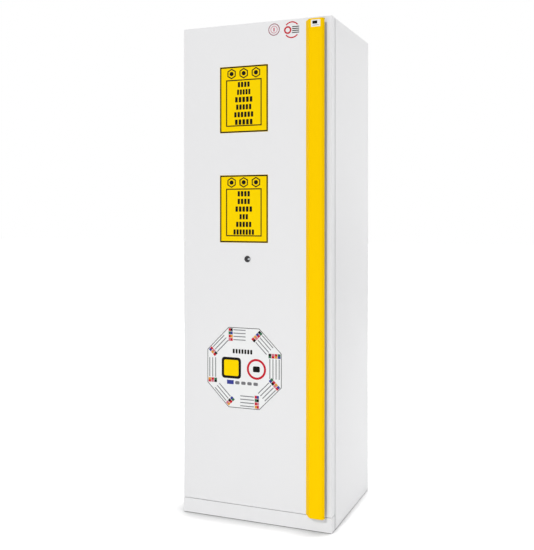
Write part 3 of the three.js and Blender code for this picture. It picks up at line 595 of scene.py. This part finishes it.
def dress_hinges():
    for place in HINGES:
        leaves = (f"hinge_{place}_frame_leaf", f"hinge_{place}_door_leaf")
        dress_each(leaves, "bare_steel", width=0.4 * MM)
        dress(f"hinge_{place}_pin", "chrome_plate", width=0.3 * MM)


# Plates and inks on the door

door_low, door_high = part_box("door_outer_skin")
DOOR_LEFT = door_low.x
DOOR_FRONT = door_low.y
DOOR_BACK = door_high.y
PLATE = 0.35 * MM
INK = 0.12 * MM


def plate(name, points, material, face, thickness):
    bm = bmesh.new()
    flat_shape(bm, points, face, face - thickness)
    finish_piece(name, bm, material, "door")


class Ink:
    """Collects flat shapes of one ink on one sign."""

    def __init__(self, name, material, face, thickness=INK):
        self.name = name
        self.material = material
        self.planes = (face, face - thickness)
        self.bm = bmesh.new()

    def outline(self, points):
        flat_shape(self.bm, points, *self.planes)

    def bar(self, low, high, radius=0.0):
        self.outline(rounded_outline(low, high, radius) if radius else inset_outline(low, high, 0.0))

    def ring(self, outer, inner):
        ring_shape(self.bm, outer, inner, *self.planes)

    def border(self, low, high, inset, line):
        """A line round the inside of a rectangle."""
        self.ring(inset_outline(low, high, inset), inset_outline(low, high, inset + line))

    def hoop(self, x, z, outer, inner, count, turn=0.0):
        """A line round a point, between two radii."""
        self.ring(circle_outline(x, z, outer, count, turn), circle_outline(x, z, inner, count, turn))

    def done(self):
        finish_piece(self.name, self.bm, self.material, "door")


# The two yellow signs: framed rows of plain blocks in place of words, under three plain symbols.
# Places in X are measured from the door's left edge.

SIGN_LEFT = 155 * MM
SIGN_WIDTH = 197.3 * MM
SIGN_CORNER = 1.5 * MM
SIGN_SIDE_MARGIN = 25.7 * MM
SIGN_TOP_MARGIN = 51 * MM
SIGN_BOTTOM_MARGIN = 24 * MM
SIGN_KEYLINE = 5.2 * MM
SIGN_KEYLINE_INSET = 0.8 * MM
SIGN_FRAME_LINE = 4.2 * MM
SIGN_BLOCK_HEIGHT = 20 * MM
SIGN_BLOCK_SHARE = 0.7
SIGN_BLOCK_CORNER = 2 * MM
SIGN_ROW_SHARE = 0.16
SIGN_FIRST_ROW_SHARE = 0.11
SYMBOL_SIDES = 6
SYMBOL_TURN = math.pi / 6
SYMBOL_RADIUS = 20 * MM
SYMBOL_RING_SHARE = 0.76
SYMBOL_DOT_SHARE = 0.42
SYMBOL_DOT_POINTS = 20
SYMBOL_PITCH = 50 * MM
SYMBOL_RAISE = 2.5 * MM

# Lower and upper edge of each sign
ACID_SIGN = (1460.5 * MM, 1712 * MM)
BASE_SIGN = (1045 * MM, 1300.5 * MM)

# Blocks in each row of a sign, and the row's width
ACID_ROWS = ((4, 52 * MM), (5, 58 * MM), (5, 75 * MM), (5, 66 * MM), (6, 82 * MM), (5, 76 * MM))
BASE_ROWS = ((4, 54 * MM), (4, 54 * MM), (5, 72 * MM), (3, 38 * MM), (5, 66 * MM), (7, 88 * MM))


def yellow_sign(name, span, rows):
    """A yellow plate with an edge line, a framed field of blocks in rows and three symbols above."""
    low = (DOOR_LEFT + SIGN_LEFT, span[0])
    high = (low[0] + SIGN_WIDTH, span[1])
    plate(name + "_plate", rounded_outline(low, high, SIGN_CORNER), "sign_yellow",
          DOOR_FRONT, PLATE)
    ink = Ink(name + "_print", "ink_black", DOOR_FRONT - PLATE)
    ink.border(low, high, SIGN_KEYLINE_INSET, SIGN_KEYLINE)
    frame_low = (low[0] + SIGN_SIDE_MARGIN, low[1] + SIGN_BOTTOM_MARGIN)
    frame_high = (high[0] - SIGN_SIDE_MARGIN, high[1] - SIGN_TOP_MARGIN)
    ink.border(frame_low, frame_high, 0.0, SIGN_FRAME_LINE)
    middle = (frame_low[0] + frame_high[0]) / 2
    field = frame_high[1] - frame_low[1]
    for row, (count, width) in enumerate(rows):
        z = frame_high[1] - (SIGN_FIRST_ROW_SHARE + row * SIGN_ROW_SHARE) * field
        pitch = width / count
        for column in range(count):
            x = middle + (column - (count - 1) / 2) * pitch
            ink.bar(*span_about(x, z, pitch * SIGN_BLOCK_SHARE, SIGN_BLOCK_HEIGHT), SIGN_BLOCK_CORNER)
    symbol_z = (frame_high[1] + high[1]) / 2 - SYMBOL_RAISE
    for column in (-1, 0, 1):
        x = middle + column * SYMBOL_PITCH
        ink.hoop(x, symbol_z, SYMBOL_RADIUS, SYMBOL_RADIUS * SYMBOL_RING_SHARE, SYMBOL_SIDES, SYMBOL_TURN)
        ink.outline(circle_outline(x, symbol_z, SYMBOL_RADIUS * SYMBOL_DOT_SHARE, SYMBOL_DOT_POINTS))
    ink.done()


# The white octagonal sign: rows of two small blocks and a bar along each side, round a plain centre

OCTAGON_PLACE = (DOOR_LEFT + 254.5 * MM, 572.5 * MM)
OCTAGON_HALF = 152.5 * MM
OCTAGON_SLOPE = math.tan(math.pi / 8)
OCTAGON_FLAT_HALF = OCTAGON_HALF * OCTAGON_SLOPE
OCTAGON_LINE = 2.2 * MM
OCTAGON_LINE_INSET = 0.5 * MM

# Along each side, clockwise from the top: its rows, the bars' length and where the blocks start
SIDE_ROWS = (
    (4, 50 * MM, 0 * MM), (4, 62 * MM, 6 * MM), (4, 74 * MM, 2 * MM), (4, 62 * MM, 4 * MM),
    (4, 56 * MM, 2 * MM), (3, 66 * MM, 4 * MM), (3, 74 * MM, 2 * MM), (3, 66 * MM, 4 * MM),
)
BLOCK_RUN = 17 * MM
BLOCK_DEPTH = 11 * MM
ROW_PITCH = 12.4 * MM
BAR_THICKNESS = 3.4 * MM
BAR_GAP = 3 * MM
FIRST_ROW_DEPTH = 4.5 * MM
BLOCK_INKS = ("ink_red", "ink_black", "ink_green", "ink_blue", "ink_red", "ink_amber", "ink_pink")

# The centre's shapes, measured from the octagon's centre
TOP_BLOCKS = 7
TOP_BLOCK_START = (-42 * MM, 62 * MM)
TOP_BLOCK_PITCH = 12 * MM
TOP_BLOCK_SIZE = (8 * MM, 17 * MM)
TOP_BLOCK_CORNER = 2 * MM
SQUARE_SPAN = ((-92 * MM, -42 * MM), (-12 * MM, 38 * MM))
SQUARE_CORNER = 12 * MM
SQUARE_BORDER = 10 * MM
SQUARE_FIELD_CORNER = 6 * MM
RING_PLACE = (51 * MM, -1 * MM)
RING_RADII = (39 * MM, 30.5 * MM)
RING_POINTS = 48
RING_BLOCK_SIZE = (28 * MM, 22 * MM)
RING_BLOCK_CORNER = 5 * MM
BLUE_SPAN = ((-70 * MM, -64 * MM), (-42 * MM, -48.5 * MM))
LOW_BLOCKS = 4
LOW_BLOCK_SPAN = ((-36 * MM, -63 * MM), (-18 * MM, -51 * MM))
LOW_BLOCK_PITCH = 25 * MM
LOW_BLOCK_CORNER = 4 * MM


def octagon_outline(step=0.0):
    """The octagon's corners, clockwise from the left end of the top side, set in by a step."""
    half = OCTAGON_HALF - step
    flat = OCTAGON_FLAT_HALF - step * OCTAGON_SLOPE
    return moved_to(OCTAGON_PLACE, ((-flat, half), (flat, half), (half, flat), (half, -flat),
                                    (flat, -half), (-flat, -half), (-half, -flat), (-half, flat)))


def along_side(start, end, run, depth, run_size, depth_size):
    """A small rectangle beside a side of the octagon, placed by its run along it and its depth inwards."""
    a, b = Vector(start), Vector(end)
    along = (b - a).normalized()
    inwards = Vector((along.y, -along.x))
    corner = a + along * run + inwards * depth
    points = (corner, corner + along * run_size, corner + along * run_size + inwards * depth_size,
              corner + inwards * depth_size)
    return [tuple(point) for point in points]


def octagon_sides(inks, corners):
    """The rows along every side, their half blocks in turning colours."""
    colours = itertools.cycle(BLOCK_INKS)
    half_run = BLOCK_RUN / 2
    for side, (rows, bar_length, first_run) in enumerate(SIDE_ROWS):
        start, end = corners[side], corners[(side + 1) % len(corners)]
        bar_run = first_run + BLOCK_RUN + BAR_GAP
        for row in range(rows):
            depth = FIRST_ROW_DEPTH + row * ROW_PITCH
            for run in (first_run, first_run + half_run):
                block = along_side(start, end, run, depth, half_run, BLOCK_DEPTH)
                inks[next(colours)].outline(block)
            bar_depth = depth + (BLOCK_DEPTH - BAR_THICKNESS) / 2
            inks["ink_grey"].outline(along_side(start, end, bar_run, bar_depth, bar_length, BAR_THICKNESS))


def octagon_centre(inks):
    """A row of blocks over a framed yellow square and a red ring round a block, with small blocks below."""
    for column in range(TOP_BLOCKS):
        x = OCTAGON_PLACE[0] + TOP_BLOCK_START[0] + column * TOP_BLOCK_PITCH
        z = OCTAGON_PLACE[1] + TOP_BLOCK_START[1]
        inks["ink_black"].bar(*span_about(x, z, *TOP_BLOCK_SIZE), TOP_BLOCK_CORNER)
    square = moved_to(OCTAGON_PLACE, SQUARE_SPAN)
    inks["ink_black"].bar(*square, SQUARE_CORNER)
    field_low, _, field_high, _ = inset_outline(*square, SQUARE_BORDER)
    inks["sign_yellow"].bar(field_low, field_high, SQUARE_FIELD_CORNER)
    ring = (OCTAGON_PLACE[0] + RING_PLACE[0], OCTAGON_PLACE[1] + RING_PLACE[1])
    inks["ink_red"].hoop(*ring, *RING_RADII, RING_POINTS)
    inks["ink_black"].bar(*span_about(*ring, *RING_BLOCK_SIZE), RING_BLOCK_CORNER)
    inks["ink_blue"].bar(*moved_to(OCTAGON_PLACE, BLUE_SPAN))
    for column in range(LOW_BLOCKS):
        place = (OCTAGON_PLACE[0] + column * LOW_BLOCK_PITCH, OCTAGON_PLACE[1])
        inks["ink_grey"].bar(*moved_to(place, LOW_BLOCK_SPAN), LOW_BLOCK_CORNER)


def octagon_sign():
    """A white plate with an edge line, its rows and its centre. The yellow lies on the black square."""
    corners = octagon_outline()
    plate("octagon_plate", corners, "sign_white", DOOR_FRONT, PLATE)
    face = DOOR_FRONT - PLATE
    inks = {key: Ink("octagon_print_" + key.removeprefix("ink_"), key, face)
            for key in sorted(set(BLOCK_INKS))}
    inks["sign_yellow"] = Ink("octagon_print_yellow", "sign_yellow", face - INK)
    inks["ink_grey"] = Ink("octagon_print_grey", "ink_grey", face)
    inks["ink_black"].ring(octagon_outline(OCTAGON_LINE_INSET),
                           octagon_outline(OCTAGON_LINE_INSET + OCTAGON_LINE))
    octagon_sides(inks, corners)
    octagon_centre(inks)
    for ink in inks.values():
        ink.done()


# Two small printed marks near the door's top: a thin ring, and two arcs round a ring with bars

ROUND_MARK_PLACE = (DOOR_LEFT + 376.3 * MM, 1837.5 * MM)
ROUND_MARK_EDGE = (22.5 * MM, 19.5 * MM)
ROUND_MARK_RING = (14 * MM, 11.6 * MM)
ROUND_MARK_BAR = (6 * MM, 14 * MM)
ROUND_MARK_BAR_CORNER = 1.5 * MM
EDGE_POINTS = 48
RING_MARK_POINTS = 36
DOUBLE_MARK_PLACE = (DOOR_LEFT + 446.4 * MM, 1831 * MM)
DOUBLE_MARK_ARC = (31 * MM, 26.5 * MM)
DOUBLE_MARK_TURNS = ((38, 140), (218, 320))
DOUBLE_MARK_ARC_STEPS = 12
DOUBLE_MARK_RING = (14.5 * MM, 8.5 * MM)
DOUBLE_MARK_RING_SHIFT = 16 * MM
DOUBLE_MARK_BARS = 4
DOUBLE_MARK_BAR_PITCH = 7.2 * MM
DOUBLE_MARK_BAR_HEIGHT = 3.4 * MM
DOUBLE_MARK_BAR_RUN = (1 * MM, 29 * MM)
DOUBLE_MARK_BAR_CORNER = 1 * MM


def round_mark():
    edge = Ink("round_mark_edge", "ink_plum", DOOR_FRONT)
    edge.hoop(*ROUND_MARK_PLACE, *ROUND_MARK_EDGE, EDGE_POINTS)
    edge.done()
    ring = Ink("round_mark_ring", "ink_pink", DOOR_FRONT)
    ring.hoop(*ROUND_MARK_PLACE, *ROUND_MARK_RING, RING_MARK_POINTS)
    ring.bar(*span_about(*ROUND_MARK_PLACE, *ROUND_MARK_BAR), ROUND_MARK_BAR_CORNER)
    ring.done()


def double_mark():
    x, z = DOUBLE_MARK_PLACE
    red = Ink("double_mark_red", "ink_red", DOOR_FRONT)
    for start, end in DOUBLE_MARK_TURNS:
        red.outline(arc_band(x, z, *DOUBLE_MARK_ARC, math.radians(start), math.radians(end),
                             DOUBLE_MARK_ARC_STEPS))
    red.hoop(x - DOUBLE_MARK_RING_SHIFT, z, *DOUBLE_MARK_RING, RING_MARK_POINTS)
    red.done()
    bars = Ink("double_mark_grey", "ink_black", DOOR_FRONT)
    start, end = DOUBLE_MARK_BAR_RUN
    for row in range(DOUBLE_MARK_BARS):
        middle_z = z + ((DOUBLE_MARK_BARS - 1) / 2 - row) * DOUBLE_MARK_BAR_PITCH
        low_z = middle_z - DOUBLE_MARK_BAR_HEIGHT / 2
        bars.bar((x + start, low_z), (x + end, low_z + DOUBLE_MARK_BAR_HEIGHT), DOUBLE_MARK_BAR_CORNER)
    bars.done()


# The small white plate on the handle, placed in X from the door's left edge

HANDLE_PLATE_SPAN = ((532.9 * MM, 1826 * MM), (568 * MM, 1851.5 * MM))
HANDLE_PLATE_CORNER = 1.5 * MM
HANDLE_FILM = 0.08 * MM

# The block's and the line's lower and upper corner, each measured from the plate's own
HANDLE_BLOCK_MARGINS = ((5.5 * MM, 10.5 * MM), (11.5 * MM, 4 * MM))
HANDLE_BLOCK_CORNER = 1.5 * MM
HANDLE_LINE_SIDE = 5.5 * MM
HANDLE_LINE_SPAN = (5 * MM, 6.2 * MM)
HANDLE_LINE_CORNER = 0.5 * MM


def handle_plate():
    """A small white plate with a plain block over a thin line, near the top of the handle."""
    handle_low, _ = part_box("handle_profile")
    low, high = moved_to((DOOR_LEFT, 0.0), HANDLE_PLATE_SPAN)
    plate("handle_plate", rounded_outline(low, high, HANDLE_PLATE_CORNER), "sign_white",
          handle_low.y, HANDLE_FILM)
    mark = Ink("handle_plate_mark", "ink_black", handle_low.y - HANDLE_FILM, HANDLE_FILM)
    (left, bottom), (right, top) = HANDLE_BLOCK_MARGINS
    mark.bar((low[0] + left, low[1] + bottom), (high[0] - right, high[1] - top), HANDLE_BLOCK_CORNER)
    line_low, line_high = HANDLE_LINE_SPAN
    mark.bar((low[0] + HANDLE_LINE_SIDE, low[1] + line_low),
             (high[0] - HANDLE_LINE_SIDE, low[1] + line_high), HANDLE_LINE_CORNER)
    mark.done()


# Screws and rivets, each with the radius and height of its head

HEAD_SEGMENTS = 20
HEAD_TOP_SHARE = 0.9
HEAD_ROUNDING_SHARE = 0.6
HEAD_ROUNDING_STEPS = 2
SIDE_FACE_CORNERS = 4
FACING_SHARE = 0.9
CROSS_LENGTH_SHARE = 1.1
CROSS_WIDTH_SHARE = 0.24
CROSS_THICKNESS = 0.08 * MM
CROSS_TURNS = (EIGHTH_TURN, QUARTER_TURN + EIGHTH_TURN)

LEAF_SCREW = (3.6 * MM, 0.1 * MM)
LEAF_SCREW_STEPS = (-42 * MM, -14 * MM, 14 * MM, 42 * MM)
LEAF_SCREW_X = -283 * MM

# The plane in Y of each hinge leaf's open face, the side that it looks to, and its body
LEAF_FACES = {
    "frame_leaf": (-214.8 * MM, (0, -1, 0), "cabinet"),
    "door_leaf": (-215.2 * MM, (0, 1, 0), "door"),
}
RIVET = (4 * MM, 1.5 * MM)
RIVET_INSET = 36 * MM
RIVET_END = 22 * MM
RIVET_ROWS = 13
RIVET_COLUMNS = 5
RIVET_COLUMN_SHIFT = 8 * MM
FLANGE_SCREW = (3.5 * MM, 1.6 * MM)
FLANGE_SCREW_CIRCLE = 45 * MM
FLANGE_SCREWS = 4
FLANGE_THICKNESS = 2 * MM
KEEPER_SCREW = (3 * MM, 0.15 * MM)
KEEPER_SCREW_INSET = 8 * MM
BACK_SCREW = (4 * MM, 0.06 * MM)
BACK_SCREW_INSET = 16 * MM
BACK_SCREW_ROWS = 8
BACK_SCREW_COLUMNS = 4


def facing(normal):
    """The turn that brings the Z axis to a normal."""
    return Vector((0, 0, 1)).rotation_difference(Vector(normal)).to_matrix().to_4x4()


def evenly(low, high, count):
    return [low + (high - low) * i / (count - 1) for i in range(count)]


def top_rims(bm, normal):
    """The edges between the heads' flat tops and their steep sides. Very shallow heads have none."""
    def is_top(face):
        return len(face.verts) > SIDE_FACE_CORNERS and face.normal.dot(normal) > FACING_SHARE

    def is_shallow_side(face):
        return len(face.verts) <= SIDE_FACE_CORNERS and face.normal.dot(normal) >= FACING_SHARE

    return [edge for edge in bm.edges
            if any(is_top(face) for face in edge.link_faces)
            and not any(is_shallow_side(face) for face in edge.link_faces)]


def round_heads(name, places, normal, size, body):
    """Low domed heads, one at each place, standing out along a normal."""
    radius, height = size
    turn = facing(normal)
    bm = bmesh.new()
    for place in places:
        made = bmesh.ops.create_cone(bm, cap_ends=True, segments=HEAD_SEGMENTS, radius1=radius,
                                     radius2=radius * HEAD_TOP_SHARE, depth=height)
        bmesh.ops.translate(bm, verts=made["verts"], vec=(0, 0, height / 2))
        bmesh.ops.transform(bm, matrix=Matrix.Translation(place) @ turn, verts=made["verts"])
    round_edges(bm, top_rims(bm, Vector(normal)), height * HEAD_ROUNDING_SHARE, HEAD_ROUNDING_STEPS)
    finish_piece(name, bm, "zinc_steel", body)


def paint_cross_recess_shade(name, places, normal, size, body):
    """A dark cross on each head, where its driver fits: painted shade of the driver's recess, as thin dark
    plates on the head.
    """
    radius, height = size
    turn = facing(normal)
    lift = Matrix.Translation((0, 0, height))
    arm = Matrix.Diagonal((radius * CROSS_LENGTH_SHARE, radius * CROSS_WIDTH_SHARE, CROSS_THICKNESS, 1.0))
    bm = bmesh.new()
    for place in places:
        for angle in CROSS_TURNS:
            made = bmesh.ops.create_cube(bm, size=1.0)
            spin = Matrix.Rotation(angle, 4, "Z")
            bmesh.ops.transform(bm, matrix=Matrix.Translation(place) @ turn @ lift @ spin @ arm,
                                verts=made["verts"])
    # The dark finish of these plates is painted shade of the recess, not the screw's own colour.
    finish_piece(name, bm, "lock_dark", body)


def screws(name, places, normal, size, body):
    round_heads(name + "_screws", places, normal, size, body)
    paint_cross_recess_shade(name + "_cross_recess_shade", places, normal, size, body)


def hinge_screws():
    """Countersunk screws in both leaves of every hinge."""
    for place in HINGES:
        for part, (face, normal, body) in LEAF_FACES.items():
            node = f"hinge_{place}_{part}"
            low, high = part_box(node)
            middle = (low.z + high.z) / 2
            places = [(LEAF_SCREW_X, face, middle + step) for step in LEAF_SCREW_STEPS]
            screws(node, places, normal, LEAF_SCREW, body)


def door_rivets():
    """Rivets that hold the door's inner panel, round its edge outside the gasket."""
    low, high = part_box("door_inner_panel")
    left, right = low.x + RIVET_INSET, high.x - RIVET_INSET
    bottom, top = low.z + RIVET_END, high.z - RIVET_END
    places = [(x, DOOR_BACK, z) for z in evenly(bottom, top, RIVET_ROWS) for x in (left, right)]
    places += [(x, DOOR_BACK, z) for x in evenly(left, right, RIVET_COLUMNS)[1:-1]
               for z in (bottom - RIVET_COLUMN_SHIFT, top + RIVET_COLUMN_SHIFT)]
    round_heads("door_panel_rivets", places, (0, 1, 0), RIVET, "door")


def flange_screws():
    """Screws in the flange of each ceiling spigot."""
    for name in DUCTS:
        low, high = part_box(name + "_spigot")
        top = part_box("top_panel")[1].z + FLANGE_THICKNESS
        centre = ((low.x + high.x) / 2, (low.y + high.y) / 2)
        around = circle_outline(*centre, FLANGE_SCREW_CIRCLE, FLANGE_SCREWS, EIGHTH_TURN)
        screws(name + "_flange", [(x, y, top) for x, y in around], (0, 0, 1), FLANGE_SCREW, "cabinet")


def keeper_screws():
    """Two screws in the lock's keeper."""
    low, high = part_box("lock_keeper")
    z = (low.z + high.z) / 2
    places = [(x, low.y, z) for x in (low.x + KEEPER_SCREW_INSET, high.x - KEEPER_SCREW_INSET)]
    screws("lock_keeper", places, (0, -1, 0), KEEPER_SCREW, "cabinet")


def back_screws():
    """Countersunk screws round the edge of the back panel."""
    low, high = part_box("back_panel")
    left, right = low.x + BACK_SCREW_INSET, high.x - BACK_SCREW_INSET
    bottom, top = low.z + BACK_SCREW_INSET, high.z - BACK_SCREW_INSET
    places = [(x, high.y, z) for z in evenly(bottom, top, BACK_SCREW_ROWS) for x in (left, right)]
    places += [(x, high.y, z) for x in evenly(left, right, BACK_SCREW_COLUMNS)[1:-1]
               for z in (bottom, top)]
    screws("back_panel", places, (0, 1, 0), BACK_SCREW, "cabinet")


# The lock's wedge: its outer and inner radius, half its opening and its thickness

LOCK_WEDGE_RADII = (11.0 * MM, 1.4 * MM)
LOCK_WEDGE_HALF = math.radians(27)
LOCK_WEDGE_STEPS = 6
LOCK_WEDGE_THICKNESS = 0.3 * MM


def lock_wedge():
    """A bright zinc wedge on the dark lock, which turns with the key."""
    low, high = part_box("lock_housing")
    x, z = (low.x + high.x) / 2, (low.z + high.z) / 2
    outline = arc_band(x, z, *LOCK_WEDGE_RADII, -LOCK_WEDGE_HALF, LOCK_WEDGE_HALF, LOCK_WEDGE_STEPS)
    bm = bmesh.new()
    flat_shape(bm, outline, low.y, low.y - LOCK_WEDGE_THICKNESS)
    finish_piece("lock_wedge", bm, "zinc_steel", "lock")


# Floor, world and lamps

FLOOR_HALF = 30.0
FLOOR_DROP = 2.0 * MM
FLOOR_TONE = (0.94, 0.94, 0.94, 1.0)
FLOOR_VARIATION = 0.004
FLOOR_ROUGHNESS = 0.9
FLOOR_GLOSS = 0.1

# The floor's level as the camera sees it, near its centre and far from it, and where the change lies. The
# lower level near the centre is painted shade round the cabinet.
FLOOR_SEEN_NEAR = 1.5
FLOOR_SEEN_FAR = 2.8
FLOOR_CENTRE = (-0.3, -0.45, 0.0)
FLOOR_CHANGE = (0.3, 1.4)
# How far the painted contact shade on the floor reaches, and how many rays measure it
PAINTED_CONTACT_SHADE_REACH = 0.1
PAINTED_CONTACT_SHADE_SAMPLES = 12

WORLD_LEVEL = 0.37
BACKDROP_LEVEL = 1.0

# Each lamp's name, place, target, size and power
LAMPS = (
    ("front_high", (-1.5, -18.0, 11.5), (0.0, 0.0, 1.0), 2.4, 1745.0),
    ("front_far", (-0.5, -5.0, 0.9), (0.0, 0.0, 0.5), 1.6, 6.5),
    ("front_low", (0.1, -1.7, 0.12), (0.0, -0.25, 0.0), 0.6, 1.9),
    ("side_soft", (4.0, 3.6, 2.3), (0.3, 0.0, 1.0), 2.2, 80.0),
    ("side_low", (2.0, 0.7, 0.2), (0.3, 0.0, 0.1), 0.8, 8.5),
    ("back_soft", (-4.6, 3.2, 1.0), (0.0, 0.2, 0.9), 2.2, 110.0),
    ("top_soft", (0.0, 0.6, 5.0), (0.0, 0.2, 1.8), 2.0, 40.0),
)


def floor_seen(nodes, links):
    """The floor for the camera alone: white, darkened by shadows, by painted contact shade close to what
    stands on it, and by a lower level near the cabinet that paints the floor darker round it.
    """
    painted_contact_shade = nodes.new("ShaderNodeAmbientOcclusion")
    painted_contact_shade.samples = PAINTED_CONTACT_SHADE_SAMPLES
    painted_contact_shade.inputs["Distance"].default_value = PAINTED_CONTACT_SHADE_REACH
    centred = nodes.new("ShaderNodeMapping")
    centred.inputs["Location"].default_value = [-part for part in FLOOR_CENTRE]
    links.new(object_place(nodes), centred.inputs["Vector"])
    away = nodes.new("ShaderNodeVectorMath")
    away.operation = "LENGTH"
    links.new(centred.outputs["Vector"], away.inputs["Vector"])
    level = nodes.new("ShaderNodeMapRange")
    level.interpolation_type = "SMOOTHSTEP"
    near, far = FLOOR_CHANGE
    for label, value in (("Value", away.outputs["Value"]), ("From Min", near), ("From Max", far),
                         ("To Min", FLOOR_SEEN_NEAR), ("To Max", FLOOR_SEEN_FAR)):
        feed(links, level.inputs[label], value)
    # Painted shade: the AO factor darkens the floor where it meets the cabinet, and the lower level near
    # the centre darkens it round the cabinet.
    shade = math_node(nodes, links, "MULTIPLY", painted_contact_shade.outputs["AO"], level.outputs["Result"])
    diffuse = nodes.new("ShaderNodeBsdfDiffuse")
    links.new(scaled(nodes, links, WHITE[:3], shade), diffuse.inputs["Color"])
    return diffuse.outputs["BSDF"]


def make_floor():
    """A pale floor that the camera sees as white wherever the cabinet leaves no shadow, with painted shade
    at and round the cabinet's foot.
    """
    bm = bmesh.new()
    bmesh.ops.create_grid(bm, x_segments=1, y_segments=1, size=FLOOR_HALF)
    bmesh.ops.translate(bm, verts=bm.verts, vec=(0.0, 0.0, -FLOOR_DROP))
    mesh = bpy.data.meshes.new("floor")
    bm.to_mesh(mesh)
    bm.free()
    nodes, links, shader = start_material("pale_floor")
    tone = placed(nodes, "tone", Colour=FLOOR_TONE, Drift=FLOOR_VARIATION, Fleck=FLOOR_VARIATION)
    links.new(tone["Colour"], shader.inputs["Base Color"])
    shader.inputs["Roughness"].default_value = FLOOR_ROUGHNESS
    shader.inputs["Specular IOR Level"].default_value = FLOOR_GLOSS
    seen = nodes.new("ShaderNodeLightPath").outputs["Is Camera Ray"]
    surface = mixed_shader(nodes, links, seen, shader.outputs["BSDF"], floor_seen(nodes, links))
    links.new(surface, nodes["Material Output"].inputs["Surface"])
    mesh.materials.append(MATERIALS["pale_floor"])
    add_to_scene("floor", mesh)


def background(nodes, level):
    node = nodes.new("ShaderNodeBackground")
    node.inputs["Color"].default_value = WHITE
    node.inputs["Strength"].default_value = level
    return node.outputs["Background"]


def make_world():
    """An even white room for the light, with a white backdrop for the camera and for reflections."""
    world = bpy.data.worlds.new("studio")
    bpy.context.scene.world = world
    world.use_nodes = True
    nodes, links = world.node_tree.nodes, world.node_tree.links
    nodes.clear()
    path = nodes.new("ShaderNodeLightPath").outputs
    mirrored = math_node(nodes, links, "MAXIMUM", path["Is Glossy Ray"], path["Is Transmission Ray"])
    seen = math_node(nodes, links, "MAXIMUM", path["Is Camera Ray"], mirrored)
    room = background(nodes, WORLD_LEVEL)
    backdrop = background(nodes, BACKDROP_LEVEL)
    output = nodes.new("ShaderNodeOutputWorld")
    links.new(mixed_shader(nodes, links, seen, room, backdrop), output.inputs["Surface"])


# The whole scene

make_camera()
dress_shell()
dress_interior()
dress_door()
dress_hinges()
yellow_sign("acid_sign", ACID_SIGN, ACID_ROWS)
yellow_sign("base_sign", BASE_SIGN, BASE_ROWS)
octagon_sign()
round_mark()
double_mark()
handle_plate()
hinge_screws()
door_rivets()
flange_screws()
keeper_screws()
lock_wedge()
back_screws()
make_floor()
make_world()
for lamp in LAMPS:
    area_light(*lamp)
bpy.context.scene.view_settings.view_transform = "Standard"
